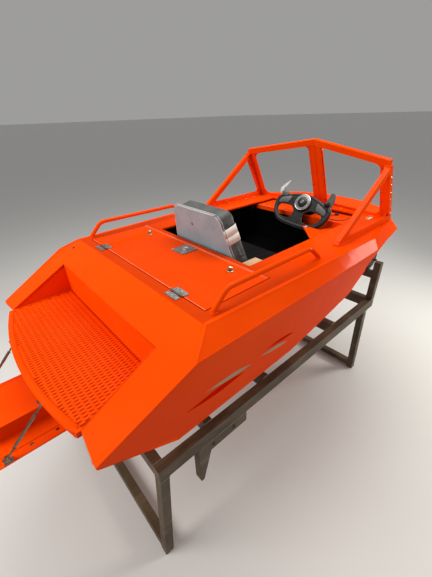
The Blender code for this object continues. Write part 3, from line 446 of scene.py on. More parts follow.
class Kit:
    """Collects small closed shapes of one finish into one piece."""

    def __init__(self):
        self.points = []
        self.faces = []
        self.soft = []

    def rings(self, rings, soft=False, closed=False):
        """Skin through rings of equal length, with a cap at each end unless closed."""
        size, count, start = len(rings[0]), len(rings), len(self.points)
        faces = []
        for row in range(count if closed else count - 1):
            near, far = row * size, (row + 1) % count * size
            for i in range(size):
                j = (i + 1) % size
                faces.append((near + i, near + j, far + j, far + i))
        if not closed:
            faces.append(tuple(reversed(range(size))))
            faces.append(tuple((count - 1) * size + i for i in range(size)))
        self.points += [Vector(p) for ring in rings for p in ring]
        self.faces += [tuple(start + i for i in face) for face in faces]
        self.soft += [soft] * len(faces)
        return self

    def turned(self, centre, axis, profile, sides=16, soft=True, spin=0.0):
        """A profile of (along, radius) turned about an axis."""
        axis, side, up = basis(axis)
        centre = Vector(centre)
        return self.rings([[centre + axis * along + (side * c + up * s) * max(radius, 1e-5)
                            for c, s in circle(sides, spin)] for along, radius in profile], soft)

    def tube(self, path, radius, sides=8, closed=False):
        """A round tube along a path; radius is a number or one per point."""
        path = as_points(path)
        radii = radius if isinstance(radius, (list, tuple)) else [radius] * len(path)
        rings = []
        up = basis(heading(path, 0, closed))[2]
        for i, point in enumerate(path):
            along = heading(path, i, closed)
            up = (up - along * up.dot(along)).normalized()
            side = along.cross(up)
            rings.append([point + (side * c + up * s) * radii[i] for c, s in circle(sides)])
        return self.rings(rings, True, closed)

    def oval(self, path, across, sizes, closed=False):
        """An oval tube along a path: at each point its half width, and its half depth along across."""
        rings = []
        for i, (point, (wide, deep)) in enumerate(zip(path, sizes)):
            out = heading(path, i, closed).cross(across).normalized()
            rings.append([point + out * wide * c + across * deep * s for c, s in circle(14)])
        return self.rings(rings, True, closed)

    def block(self, low, high, bevel=0.0):
        """A box with its twelve edges cut back."""
        low, high = Vector(low), Vector(high)
        b = min(bevel, *((high - low) * 0.45))
        rings = []
        for z, cut in ((low.z, b), (low.z + b, 0.0), (high.z - b, 0.0), (high.z, b)):
            x0, x1, y0, y1 = low.x + cut, high.x - cut, low.y + cut, high.y - cut
            rings.append([(x0 + b, y0, z), (x1 - b, y0, z), (x1, y0 + b, z), (x1, y1 - b, z),
                          (x1 - b, y1, z), (x0 + b, y1, z), (x0, y1 - b, z), (x0, y0 + b, z)])
        return self.rings(rings)

    def slab(self, outline, offset):
        """A flat outline of 3D points given thickness along offset."""
        outline = as_points(outline)
        offset = Vector(offset)
        return self.rings([outline, [p + offset for p in outline]])

    def rivet(self, at, normal, radius=0.0044, height=0.0028):
        self.turned(at, normal, [(-0.0005, radius), (height * 0.45, radius * 0.88),
                                 (height * 0.85, radius * 0.50), (height, 0.0)], 10)

    def screw(self, at, normal, radius=0.005, spin=0.3):
        """Domed head with a recess across it."""
        self.turned(at, normal, [(-0.0004, radius), (0.0009, radius), (0.0019, radius * 0.72),
                                 (0.0021, radius * 0.30), (0.0012, radius * 0.22), (0.0012, 0.0)],
                    12, True, spin)

    def bolt(self, at, normal, radius=0.007, height=0.005, spin=0.2):
        """Hexagon head on a washer."""
        self.turned(at, normal, [(-0.0004, radius * 1.65), (0.0010, radius * 1.65), (0.0014, radius * 1.5),
                                 (0.0014, 0.0)], 18)
        self.turned(at, normal, [(0.0010, radius), (height, radius), (height + 0.0010, radius * 0.82),
                                 (height + 0.0010, 0.0)], 6, False, spin)

    def weld(self, path, radius=0.0034, pitch=0.0045):
        """A bead of overlapping ripples along a path."""
        path = as_points(path)
        dense, radii = [], []
        for a, b in zip(path, path[1:]):
            steps = max(2, int((b - a).length / pitch * 2))
            for i in range(steps):
                dense.append(a.lerp(b, i / steps))
                radii.append(radius * (1.0 if i % 2 else 0.78) * random.uniform(0.90, 1.12))
        self.tube(dense + [path[-1]], radii + [radius * 0.7], 6)

    def make(self, name, look, slot, body="hull", replaces=(), bevel=0.0):
        mesh = bpy.data.meshes.new(name)
        mesh.from_pydata([tuple(p + SHIFT) for p in self.points], [], self.faces)
        for face, soft in zip(mesh.polygons, self.soft):
            face.use_smooth = soft
        made = placed(name, finished(mesh, look), body)
        if bevel:
            cut = made.modifiers.new("edges", "BEVEL")
            cut.width = bevel
            cut.segments = 2
            cut.limit_method = "ANGLE"
        if replaces:
            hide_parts(*replaces)
        return made


def curve_path(points, steps=6, closed=False):
    """Smooth path through points."""
    points = as_points(points)
    count = len(points)
    out = []
    for i in range(count if closed else count - 1):
        if closed:
            a, b, c, d = (points[(i + k) % count] for k in (-1, 0, 1, 2))
        else:
            a, b, c, d = points[max(i - 1, 0)], points[i], points[i + 1], points[min(i + 2, count - 1)]
        for k in range(steps):
            t = k / steps
            out.append(0.5 * ((2 * b) + (c - a) * t + (2 * a - 5 * b + 4 * c - d) * t * t
                              + (3 * b - a - 3 * c + d) * t ** 3))
    if not closed:
        out.append(points[-1])
    return out


def outline_plate(name, outlines, thick, bevel, place, look, body):
    """A flat plate with holes: outlines are loops of (u, v), place maps (u, v, w) to the boat frame."""
    curve = bpy.data.curves.new(name + "_outline", "CURVE")
    curve.dimensions = "2D"
    curve.fill_mode = "BOTH"
    curve.extrude = thick / 2 - bevel
    curve.bevel_depth = bevel
    curve.bevel_resolution = 1
    curve.resolution_u = 1
    for loop in outlines:
        spline = curve.splines.new("POLY")
        spline.points.add(len(loop) - 1)
        for point, (u, v) in zip(spline.points, loop):
            point.co = (u, v, 0, 1)
        spline.use_cyclic_u = True
    source = bpy.data.objects.new(name + "_source", curve)
    bpy.context.scene.collection.objects.link(source)
    bpy.context.view_layer.update()
    mesh = bpy.data.meshes.new_from_object(source.evaluated_get(bpy.context.evaluated_depsgraph_get()))
    bpy.data.objects.remove(source)
    bpy.data.curves.remove(curve)
    for vertex in mesh.vertices:
        vertex.co = Vector(place(*vertex.co)) + SHIFT
    return placed(name, finished(mesh, look, 1e-5), body)


# Hull measures, as in the CAD

SLOPE = 0.55
TIP = (-0.508, 0.690)
RECESS_X, RECESS_Y = -0.160, 0.529
PLATFORM_Z = -0.271
PLATFORM_AFT_X, PLATFORM_R = -0.582, 2.0
HATCH_X, HATCH_Y = (0.062, 0.458), 0.570
HINGE_X, HINGE_Z, HINGE_Y = 0.056, 0.007, 0.381
KNUCKLE_Z = -0.0603
# Way that the heads on the transom point
TRANSOM_OUT = (-0.832, 0, -0.555)
# Each row: x_sheer, y_sheer, x_knuckle, y_knuckle, x_chine, y_chine, z_chine
HULL_ROWS = (
    (0.000, 0.650, -0.113, 0.732, -0.180, 0.650, -0.490),
    (0.600, 0.672, 0.600, 0.732, 0.600, 0.650, -0.467),
    (1.000, 0.682, 1.000, 0.732, 0.900, 0.650, -0.417),
    (1.319, 0.692, 1.300, 0.731, 1.220, 0.648, -0.358),
    (1.545, 0.646, 1.536, 0.694, 1.500, 0.612, -0.297),
    (1.771, 0.600, 1.772, 0.658, 1.720, 0.545, -0.242),
    (1.950, 0.485, 1.950, 0.545, 1.860, 0.430, -0.215),
    (2.060, 0.350, 2.080, 0.390, 1.970, 0.290, -0.192),
    (2.120, 0.180, 2.150, 0.200, 2.030, 0.150, -0.180),
    (2.140, 0.000, 2.175, 0.000, 2.050, 0.000, -0.175),
)


def round_bow(rows, first, steps):
    """The rows with more between them from the first one on, along a smooth curve round the bow."""
    opposite = [-value if at in (1, 3, 5) else value for at, value in enumerate(rows[-2])]
    made = list(rows[:first])
    for k in range(first, len(rows) - 1):
        b, c = rows[k], rows[k + 1]
        a = rows[k - 1] if k > first else [2 * p - q for p, q in zip(b, c)]
        d = rows[k + 2] if k + 2 < len(rows) else opposite
        for i in range(steps):
            t = i / steps
            made.append(tuple(0.5 * (2 * q + (r - p) * t + (2 * p - 5 * q + 4 * r - s) * t * t
                                     + (3 * q - p - 3 * r + s) * t ** 3) for p, q, r, s in zip(a, b, c, d)))
    made.append(rows[-1])
    return made


STATIONS = round_bow(HULL_ROWS, 5, 3)


def side_y(x, z):
    """Half-breadth of the outside of a side plate at a place along it and a height."""
    for a, b in zip(STATIONS, STATIONS[1:]):
        t = (z - KNUCKLE_Z) / ((a[6] + b[6]) / 2 - KNUCKLE_Z)
        xa = a[2] + (a[4] - a[2]) * t
        xb = b[2] + (b[4] - b[2]) * t
        if xa <= x <= xb:
            s = (x - xa) / (xb - xa)
            t = (z - KNUCKLE_Z) / (a[6] + (b[6] - a[6]) * s - KNUCKLE_Z)
            top = a[3] + (b[3] - a[3]) * s
            low = a[5] + (b[5] - a[5]) * s
            return top + (low - top) * t
    return STATIONS[0][3]


def arc_x(y, inset=0.0):
    """Aft edge of the swim platform."""
    r = PLATFORM_R - inset
    return PLATFORM_AFT_X + PLATFORM_R - math.sqrt(r * r - y * y)


# Swim platform: raised weave of non-skid ridges, rim beads and raw edges

BAND_PITCH, RIDGE_PITCH = 0.0265, 0.0190
RIDGE_LONG, RIDGE_WIDE = 0.0430, 0.0134
MAT_HALF = 0.516


def ridge(kit, low, high, y):
    """One low ridge of the weave, narrower at its top."""
    rings = []
    for grow, height in ((1.0, 0.0008), (0.90, 0.0026), (0.55, 0.0036)):
        rings.append([((low + high) / 2 + c * (high - low) / 2 * grow, y + s * RIDGE_WIDE / 2 * grow,
                       PLATFORM_Z + height) for c, s in circle(8)])
    kit.rings(rings, True)


weave = Kit()
band, x = 0, RECESS_X - 0.006
while x > PLATFORM_AFT_X - 0.010:
    y = -0.5035 + (RIDGE_PITCH / 2 if band % 2 else 0.0)
    while y < 0.510:
        low = max(x - RIDGE_LONG / 2, arc_x(y) + 0.0245)
        high = min(x + RIDGE_LONG / 2, RECESS_X - 0.0012)
        if high - low > 0.010:
            ridge(weave, low, high, y)
        y += RIDGE_PITCH
    x -= BAND_PITCH
    band += 1
# The ridges take the orange a touch lighter than the plain paint: a painted highlight on their tops.
weave.make("platform_weave", orange_paint("nonskid_orange", 1.04), "orange_paint")

sheet = Kit()
edge = [(RECESS_X - 0.002, MAT_HALF), (RECESS_X - 0.002, -MAT_HALF)]
edge += [(arc_x(y, 0.026), y) for y in (MAT_HALF * (i / 12 - 1) for i in range(25))]
sheet.slab([(x, y, PLATFORM_Z - 0.0002) for x, y in edge], (0, 0, 0.0014))
# The sheet under the ridges takes the orange darkened to about a third: painted shade in the slots between
# them.
sheet.make("platform_sheet", orange_paint("nonskid_slot_shade", 0.36), "orange_paint")

rim = Kit()
# Each row: inset from the edge, half width, height, radius
for inset, half, z, radius in ((0.019, 0.512, 0.0012, 0.0030), (-0.0005, 0.521, -0.002, 0.0028),
                               (-0.0005, 0.521, -0.0265, 0.0022)):
    rim.tube([(arc_x(y, inset), y, PLATFORM_Z + z) for y in (half * (i / 20 - 1) for i in range(41))], radius)
rim.make("platform_rim", orange, "orange_paint")

raw = Kit()
for s in SIDES:
    near = Vector((PLATFORM_Z / SLOPE - 0.0006, s * (RECESS_Y + 0.004), PLATFORM_Z - 0.004))
    far = Vector((TIP[0] - 0.0010, s * (TIP[1] - 0.022), SLOPE * TIP[0] - 0.002))
    raw.tube([near.lerp(far, i / 6) for i in range(7)], 0.0013, 6)
raw.make("wing_raw_edge", stainless("raw_edge", (0.72, 0.68, 0.60), 0.34), "bare_aluminium")

fairing = Kit()
for s in SIDES:
    tip = Vector((TIP[0] + 0.004, s * (TIP[1] - 0.004), SLOPE * TIP[0] - 0.020))
    rows = []
    for t, deep in ((0.02, 0.0006), (0.5, 0.0102), (0.998, 0.0202)):
        spot = tip.lerp(Vector((-0.180, s * 0.650, -0.4897)), t)
        rows.append([spot + Vector((0, y, z))
                     for y, z in ((0, 0), (0, -deep), (-s * 0.019, -deep), (-s * 0.019, 0))])
    fairing.rings(rows, True)
    # Folded flange from the transom's lower edge to the bottom plate
    fairing.slab([(-0.2019, s * 0.6215, -0.4956), (-0.0500, s * 0.1345, -0.5976),
                  (-0.0115, s * 0.1345, -0.6040), (-0.1785, s * 0.6450, -0.4970)], (0, 0, -0.0020))
fairing.make("chine_fairing", orange, "orange_paint")


# Seams: thin beads where plates meet

seams = Kit()
recess_corner = Vector((RECESS_X, RECESS_Y, SLOPE * RECESS_X + 0.0004))
for s in SIDES:
    seams.tube([mirrored(recess_corner, s), (PLATFORM_Z / SLOPE + 0.004, s * RECESS_Y, PLATFORM_Z + 0.0030)],
               0.0022, 6)
    knuckle = [(row[2], s * (row[3] + 0.0002), KNUCKLE_Z) for row in STATIONS[:-1]]
    seams.tube(knuckle + [(2.1755, s * 0.0005, KNUCKLE_Z)], 0.0016, 6)
    sheer = [(row[0], s * row[1], -0.0006) for row in STATIONS[:-1]]
    seams.tube(sheer + [(2.1395, s * 0.0005, -0.0006)], 0.0016, 6)
    seams.tube([(-0.0002, s * 0.650, -0.0004), (-0.113, s * 0.732, -0.0610),
                (TIP[0], s * TIP[1], SLOPE * TIP[0])], 0.0018, 6)
seams.tube([recess_corner, mirrored(recess_corner, -1)], 0.0022, 6)
seams.tube([(0, 0.648, -0.0004), (0, -0.648, -0.0004)], 0.0014, 6)
seams.make("plate_seams", orange, "orange_paint")


# Side stripes: flat generic swooshes

stripe_looks = {"red": stripe_paint("stripe_red", (0.62, 0.008, 0.0), 0.34),
                "silver": stripe_paint("stripe_silver", (0.40, 0.32, 0.21), 0.38)}
# Each row: finish, lower aft tip, upper forward tip, fullness
STRIPES = (
    ("red", (-0.142, -0.342), (0.190, -0.352), 0.036),
    ("silver", (-0.050, -0.289), (0.235, -0.331), 0.027),
    ("silver", (0.290, -0.318), (0.526, -0.362), 0.022),
    ("red", (0.330, -0.288), (0.560, -0.318), 0.020),
)
STRIPE_STEPS = 22


def stripe(kit, s, aft, fore, full):
    """A leaf-shaped patch lying on the side plate."""
    rows = []
    for i in range(STRIPE_STEPS + 1):
        t = i / STRIPE_STEPS
        rise = full * math.sin(math.pi * t) ** 1.15
        x = aft[0] + (fore[0] - aft[0]) * t + rise * 0.5
        z = aft[1] + (fore[1] - aft[1]) * t
        high = z + rise * (0.35 + 0.55 * t)
        low = min(z - rise * (0.75 - 0.45 * t), high - 0.0003)
        rows.append([(x, s * (side_y(x, at) + out), at)
                     for at, out in ((high, -0.0004), (high, 0.0006), (low, 0.0006), (low, -0.0004))])
    kit.rings(rows)


for side, s in zip(("port", "stbd"), SIDES):
    for at, (key, aft, fore, full) in enumerate(STRIPES):
        kit = Kit()
        stripe(kit, s, aft, fore, full)
        kit.make("stripe_%s_%s_%d" % (side, key, at), stripe_looks[key], "orange_paint")


# Deck fittings

hatch_metal = Kit()
for s in SIDES:
    knob = (0.380, s * 0.386, 0.0)
    hatch_metal.turned(knob, UP, [(-0.0004, 0.019), (0.0022, 0.019), (0.0032, 0.017), (0.0034, 0.0)], 24)
    hatch_metal.turned(knob, UP, [(0.002, 0.0085), (0.010, 0.0080), (0.013, 0.0120), (0.020, 0.0125),
                                  (0.024, 0.0085), (0.025, 0.0)], 20)
hatch_metal.make("hatch_knobs", stainless("brassy_chrome", (0.66, 0.54, 0.34), 0.20), "stainless", "hatch")

LATCH_X = 0.381
latch = Kit()
for u in (-0.043, 0.043):
    for v in (-0.043, 0.043):
        latch.screw((LATCH_X + u, v, 0.0035), UP, 0.0052, random.uniform(0, 3))
latch.turned((LATCH_X, 0, 0.0030), UP, [(0.0, 0.0345), (0.0018, 0.0345), (0.0026, 0.0325), (0.0026, 0.0280),
                                        (0.0010, 0.0260), (0.0010, 0.0)], 32)
latch.turned((LATCH_X, 0, 0.0068), UP, [(0.0, 0.0175), (0.0018, 0.0165), (0.0024, 0.0120), (0.0014, 0.0070),
                                        (0.0014, 0.0)], 28)
for s in SIDES:
    latch.block((0.326, s * 0.0541 - 0.0011, 0.0006), (0.4362, s * 0.0541 + 0.0011, 0.0046), 0.0008)
latch.make("latch_detail", steel, "stainless", "hatch")

hinge_hull, hinge_hatch = Kit(), Kit()
for s in SIDES:
    for v in (-0.032, 0.0, 0.032):
        hinge_hull.screw((0.030, s * HINGE_Y + v, 0.0033), UP, 0.0042, random.uniform(0, 3))
    for v in (-0.030, 0.0, 0.030):
        hinge_hatch.screw((0.083, s * HINGE_Y + v, 0.0033), UP, 0.0042, random.uniform(0, 3))
    # Domed ends of the hinge pin
    for v, way in ((-0.043665, -1), (0.043239, 1)):
        hinge_hatch.turned((HINGE_X, s * HINGE_Y + v, HINGE_Z), (0, way, 0),
                           [(-0.0006, 0.0052), (0.0010, 0.0048), (0.0020, 0.0)])
hinge_hull.make("hinge_screws_hull", steel, "stainless")
hinge_hatch.make("hinge_screws_hatch", steel, "stainless", "hatch")

fold = Kit()
# Each row: aft and forward edge, gap to the hatch's sides, height, bevel
for aft, fore, side, top, bevel in ((HATCH_X[1] - 0.0150, HATCH_X[1] - 0.0115, 0.004, 0.0016, 0.0007),
                                    (HATCH_X[1] - 0.0040, HATCH_X[1] - 0.0006, 0.001, 0.0022, 0.0007),
                                    (HATCH_X[0] + 0.0004, HATCH_X[0] + 0.0042, 0.001, 0.0010, 0.0005)):
    fold.block((aft, side - HATCH_Y, -0.0004), (fore, HATCH_Y - side, top), bevel)
# The folds along the hatch's edges carry the lighter orange: a painted highlight.
fold.make("hatch_folds", edge_highlight(), "orange_paint", "hatch")

seal = Kit()
SEAL_X, SEAL_Y, SEAL_WIDE = (0.0575, 0.4625), 0.5745, 0.0030
for x0, x1, y0, y1 in ((SEAL_X[0], SEAL_X[0] + SEAL_WIDE, -SEAL_Y, SEAL_Y),
                       (SEAL_X[1] - SEAL_WIDE, SEAL_X[1], -SEAL_Y, SEAL_Y),
                       (*SEAL_X, SEAL_Y - SEAL_WIDE, SEAL_Y), (*SEAL_X, -SEAL_Y, SEAL_WIDE - SEAL_Y)):
    seal.block((x0, y0, -0.013), (x1, y1, -0.0085), 0.0008)
seal.make("hatch_seal", grip, "grip_rubber")

small = Kit()
small.bolt((-0.057, 0.602, SLOPE * -0.057), (-0.482, 0, 0.876), 0.0060, 0.0040)
small.make("slope_bolt", stainless("dull_bolt", (0.16, 0.15, 0.14), 0.45), "stainless")

rail_weld = Kit()
for s in SIDES:
    for x in (0.076, 0.818):
        ring = [(x + c * 0.0150, s * 0.608 + up * 0.0150, 0.0058) for c, up in circle(28)]
        rail_weld.weld(ring + ring[:1], 0.0026, 0.004)
rail_weld.make("rail_welds", orange, "orange_paint")


# Seat: padded backrest and cushion

BACK_X, BACK_LEAN = 0.512, math.radians(12)
BACK_TOP, BACK_LOW = 0.215 / math.cos(BACK_LEAN), -0.140 / math.cos(BACK_LEAN)
BACK_HALF_LOW, BACK_HALF_TOP = 0.292, 0.215
BACK_CORNER = 0.060
SHELL_T, PAD_T = 0.014, 0.108
PAD_CAP, PAD_FILL = 0.006, 0.85
lean = Matrix.Rotation(-BACK_LEAN, 4, "Y")
unlean = lean.inverted()


def back_point(x, y, z):
    """Backrest frame to boat frame: x forward from the shell's aft face, z up the shell."""
    return Vector((BACK_X, 0, 0)) + lean @ Vector((x, y, z))


def back_outline(inset, corner=10):
    """Half points from low to high on the port side, then down the starboard side."""
    half, high = BACK_HALF_TOP - inset - BACK_CORNER, BACK_TOP - inset - BACK_CORNER
    points = [(BACK_HALF_LOW - inset, BACK_LOW + inset)]
    for i in range(corner + 1):
        a = math.radians(90 * i / corner)
        points.append((half + BACK_CORNER * math.cos(a), high + BACK_CORNER * math.sin(a)))
    return points + [(-y, z) for y, z in reversed(points)]


def swell(made, voxel, cap, settle):
    """Remeshes a pad blank, swells it by cloth pressure, then holds every point near its start."""
    remesh = made.modifiers.new("remesh", "REMESH")
    remesh.mode = "VOXEL"
    remesh.voxel_size = voxel
    graph = bpy.context.evaluated_depsgraph_get()
    mesh = bpy.data.meshes.new_from_object(made.evaluated_get(graph))
    made.modifiers.clear()
    made.data = mesh
    start = [v.co.copy() for v in mesh.vertices]
    cloth = made.modifiers.new("cloth", "CLOTH")
    cloth.settings.quality = 5
    cloth.settings.use_pressure = True
    cloth.settings.uniform_pressure_force = 4
    cloth.settings.effector_weights.gravity = 0
    cloth.point_cache.frame_start = 1
    cloth.point_cache.frame_end = 20
    for step in range(1, 21):
        bpy.context.scene.frame_set(step)
    graph = bpy.context.evaluated_depsgraph_get()
    swollen = bpy.data.meshes.new_from_object(made.evaluated_get(graph))
    for vertex, origin, moved in zip(mesh.vertices, start, swollen.vertices):
        push = moved.co - origin
        if push.length > cap:
            push *= cap / push.length
        vertex.co = origin + push
    made.modifiers.clear()
    bpy.context.scene.frame_set(1)
    for vertex in mesh.vertices:
        vertex.co = settle(vertex.co - SHIFT) + SHIFT
    for face in mesh.polygons:
        face.use_smooth = True
    mesh.update()
    finer = made.modifiers.new("finer", "SUBSURF")
    finer.levels = finer.render_levels = 1


def pad_piece(name, rings, slot, node, voxel, settle):
    """A padded cover swollen from rings, in place of a plain node."""
    kit = Kit()
    kit.rings(rings)
    made = kit.make(name, looks[slot], slot)
    made.data.materials.clear()
    swell(made, voxel, PAD_CAP, settle)
    made.data.materials.clear()
    made.data.materials.append(looks[slot])
    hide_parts(node)


def groove(at, line, depth, width):
    """Depth of a sewn channel at a distance from its line."""
    return depth * math.exp(-((at - line) / width) ** 2)


def settle_back(point):
    """Flat against the shell, with two sewn channels across the front and one down each side."""
    p = unlean @ (point - Vector((BACK_X, 0, 0)))
    p.x = min(max(p.x, SHELL_T + 0.0006), SHELL_T + PAD_T + 0.006)
    if p.x > SHELL_T + PAD_T * 0.55:
        across = sum(groove(p.z, line, 0.0075, 0.0060) for line in (-0.045, 0.045))
        down = groove(abs(p.y) + 0.10 * (p.z - 0.03), 0.165, 0.0045, 0.0060)
        p.x -= max(across if abs(p.y) < 0.165 else 0.0, down)
    return Vector((BACK_X, 0, 0)) + lean @ p


blank = [[back_point(x, y, z) for y, z in back_outline(inset)]
         for x, inset in ((SHELL_T + 0.001, 0.008), (SHELL_T + 0.008, 0.004),
                          (SHELL_T + PAD_T - 0.022, 0.004), (SHELL_T + PAD_T - 0.008, 0.010),
                          (SHELL_T + PAD_T - 0.003, 0.022))]
pad_piece("backrest_cover", blank, "pad_grey", "backrest_pad", 0.0068, settle_back)


def back_loop(x, inset, low_cut):
    """Open path round the backrest, up one side, over the top and down the other."""
    return curve_path([back_point(x, y, max(z, BACK_LOW + low_cut)) for y, z in back_outline(inset, 12)], 3)


piping = Kit()
piping.tube(back_loop(SHELL_T + 0.0010, -0.0008, 0.003), 0.0034)
piping.make("backrest_piping", vinyl("piping_grey", (0.34, 0.33, 0.34), (0.42, 0.41, 0.42), 500.0, 0.40),
            "shell_grey")

edge = Kit()
edge.tube(back_loop(0.0015, -0.0002, 0.002), 0.0024)
edge.make("shell_edge", vinyl("shell_edge", (0.42, 0.41, 0.42), (0.50, 0.49, 0.50), 600.0, 0.36),
          "shell_grey")

shell_bolt = Kit()
normal = lean @ Vector((-1, 0, 0))
shell_bolt.turned(back_point(0.0, 0.048, 0.125), normal,
                  [(-0.0004, 0.0085), (0.0010, 0.0085), (0.0016, 0.0070), (0.0052, 0.0062), (0.0066, 0.0040),
                   (0.0068, 0.0)], 20)
for y in (0.20, -0.20, 0.0):
    shell_bolt.screw(back_point(0.0, y, -0.095), normal, 0.0050, y)
shell_bolt.make("shell_bolts", steel, "stainless")


def side_half(z):
    """Half width of the shell at a height up it, below its top corners."""
    t = (z - BACK_LOW) / (BACK_TOP - BACK_CORNER - BACK_LOW)
    return BACK_HALF_LOW + (BACK_HALF_TOP - BACK_HALF_LOW) * t


tape = Kit()
TAPE_T = 0.0005
# Each row: centre height up the band, width, twist, forward end
for z, wide, twist, far in ((0.118, 0.046, 0.04, 0.107), (0.074, 0.045, -0.02, 0.108)):
    rings = []
    for x, inset in ((0.0040, -0.0016), (0.020, -0.0030), (0.050, -0.0044), (0.080, -0.0040),
                     (far - 0.012, -0.0028), (far - 0.004, 0.001), (far, 0.008)):
        low, high = (z + twist * (x - 0.05) + half for half in (-wide / 2, wide / 2))
        rings.append([back_point(x, inset - side_half(h) - out, h)
                      for h, out in ((low, 0.0), (high, 0.0), (high, TAPE_T), (low, TAPE_T))])
    tape.rings(rings, True)
tape.make("backrest_tape", masking_tape(), "shell_grey")

CUSHION = ((0.527, -0.268, -0.2294), (1.018, 0.268, -0.1410))


def settle_cushion(point):
    """Flat under, crowned on top, with two sewn lines from aft to forward and one across."""
    low, high = CUSHION
    p = point.copy()
    p.z = max(p.z, low[2])
    p.x = min(max(p.x, low[0] - 0.0015), high[0] + 0.004)
    p.y = min(max(p.y, low[1] - 0.004), high[1] + 0.004)
    p.z = min(p.z, high[2] + 0.0002) if p.x < 0.66 else p.z
    if p.z > -0.175:
        sink = sum(groove(p.y, line, 0.0060, 0.0055) for line in (-0.135, 0.135))
        if abs(p.y) < 0.135:
            sink += groove(p.x, 0.80, 0.0060, 0.0055)
        p.z -= min(sink, 0.0065)
    return p


def cushion_ring(z, inset, radius, corner_steps, aft_inset=0.0):
    """Outline of the cushion at a height, its corners rounded."""
    (x0, y0, _), (x1, y1, _) = CUSHION
    ring = []
    for x, y, first in ((x1 - inset, y1 - inset, 0), (x0 + inset + aft_inset, y1 - inset, 90),
                        (x0 + inset + aft_inset, y0 + inset, 180), (x1 - inset, y0 + inset, 270)):
        for k in range(corner_steps + 1):
            a = math.radians(first + 90 * k / corner_steps)
            ring.append((x + radius * math.cos(a), y + radius * math.sin(a), z))
    return ring


(_, _, z0), (_, _, z1) = CUSHION
blank = [cushion_ring(z, inset + 0.035, 0.035, 5)
         for z, inset in ((z0 + 0.001, 0.012), (z0 + 0.010, 0.005), (z1 - 0.030, 0.004), (z1 - 0.014, 0.012),
                          (z1 - 0.008, 0.026))]
pad_piece("cushion_cover", blank, "seat_black", "seat_cushion", 0.0075, settle_cushion)
cord = Kit()
cord.tube(cushion_ring(z1 - 0.024, 0.040, 0.041, 6, 0.005), 0.0034, 8, True)
cord.make("cushion_piping", looks["seat_black"], "seat_black")


# Helm

HUB = Vector((1.479, -0.060, 0.070))
COLUMN_TILT, WHEEL_TURN = math.radians(35), math.radians(5)
turn = Matrix.Rotation(COLUMN_TILT, 4, "Y") @ Matrix.Rotation(WHEEL_TURN, 4, "X")
unturn = turn.inverted()
axle = turn @ Vector((1, 0, 0))


def on_wheel(y, z, x=0.0):
    """Wheel frame to boat frame: y to port and z up the face, x forward along the column."""
    return HUB + turn @ Vector((x, y, z))


def both_halves(points):
    """Closed loop from the points on one side of the middle."""
    return list(points) + [(-y, z) for y, z in reversed(points[1:-1])]


def smooth_outline(points):
    """Closed smooth loop through points of the wheel's face."""
    return [(p.x, p.y) for p in curve_path([(y, z, 0) for y, z in points], 5, True)]


def drawn_in(loop, rise, draw):
    """A loop raised off the wheel's face and drawn in to its middle."""
    middle = sum(loop, Vector()) / len(loop)
    return [p - axle * rise + (middle - p) * draw for p in loop]


# One half of the rim's centre line: y, z
RIM = ((0.000, 0.062), (0.070, 0.052), (0.135, 0.034), (0.190, 0.020), (0.224, 0.004), (0.234, -0.030),
       (0.226, -0.080), (0.198, -0.128), (0.156, -0.158), (0.105, -0.170), (0.050, -0.173), (0.000, -0.174))
rim_path = curve_path([on_wheel(y, z) for y, z in both_halves(RIM)], 5, True)
rim_places = [unturn @ (point - HUB) for point in rim_path]
wheel = Kit()
sizes = []
for place in rim_places:
    # The grips are fatter low on each side
    fat = 0.0118 + 0.0030 * math.exp(-((abs(place.y) - 0.215) / 0.035) ** 2) if place.z < 0.0 else 0.0112
    sizes.append((fat * 1.12, fat))
wheel.oval(rim_path, axle, sizes, True)
wheel.turned(HUB, -axle, [(-0.030, 0.0), (-0.030, 0.028), (-0.012, 0.034), (0.004, 0.050),
                          (0.0085, 0.052), (0.0085, 0.0)], 28)
wheel.make("wheel_rim", rim_look, "grip_rubber", "helm", ("steering_wheel",))

# One of the two openings beside the spoke: y, z
OPENING = ((0.060, -0.060), (0.092, -0.040), (0.140, -0.042), (0.188, -0.050), (0.200, -0.072),
           (0.190, -0.104), (0.160, -0.134), (0.115, -0.146), (0.070, -0.140), (0.046, -0.112),
           (0.046, -0.080))
plate_look = wheel_plastic()
plate_edge = [(y * 0.985, z + (0.003 if z > 0 else 0.0)) for y, z in both_halves(RIM)]
openings = [smooth_outline([(s * y, z) for y, z in OPENING]) for s in SIDES]
outline_plate("wheel_plate", [smooth_outline(plate_edge)] + openings, 0.0090, 0.0022,
              lambda u, v, w: on_wheel(u, v, -0.0035 - w), plate_look, "helm")

inserts = Kit()
# Grey patch on each side of the wheel's face: a grey insert whose light tone is partly a painted sheen.
GREY_PATCH = ((0.118, 0.026), (0.170, 0.012), (0.205, -0.004), (0.214, -0.034), (0.204, -0.048),
              (0.170, -0.036), (0.128, -0.026))
for s in SIDES:
    loop = curve_path([on_wheel(s * y, z, -0.0082) for y, z in GREY_PATCH], 4, True)
    inserts.rings([loop, drawn_in(loop, 0.0030, 0.0), drawn_in(loop, 0.0046, 0.10)], True)
# Line moulded round the lower rim, on its outer side
line = []
for i, (point, place) in enumerate(zip(rim_path, rim_places)):
    if place.z < 0.012:
        out = heading(rim_path, i, True).cross(axle).normalized()
        line.append(point + out * 0.0122 * (1 if out.dot(point - on_wheel(0, -0.06)) > 0 else -1))
inserts.tube(line, 0.0032)
# Throttle paddle, on the starboard side: y, z, x
PADDLE = ((-0.150, 0.016, 0.004), (-0.186, 0.024, 0.010), (-0.198, 0.062, 0.002), (-0.199, 0.098, -0.008),
          (-0.194, 0.122, -0.016))
spine = curve_path([on_wheel(*place) for place in PADDLE])
sizes = [(0.012 + 0.019 * math.sin(math.pi * min(t * 1.05, 1.0)) ** 0.7, 0.0065 - 0.0020 * t)
         for t in (i / (len(spine) - 1) for i in range(len(spine)))]
inserts.oval(spine, axle, sizes)
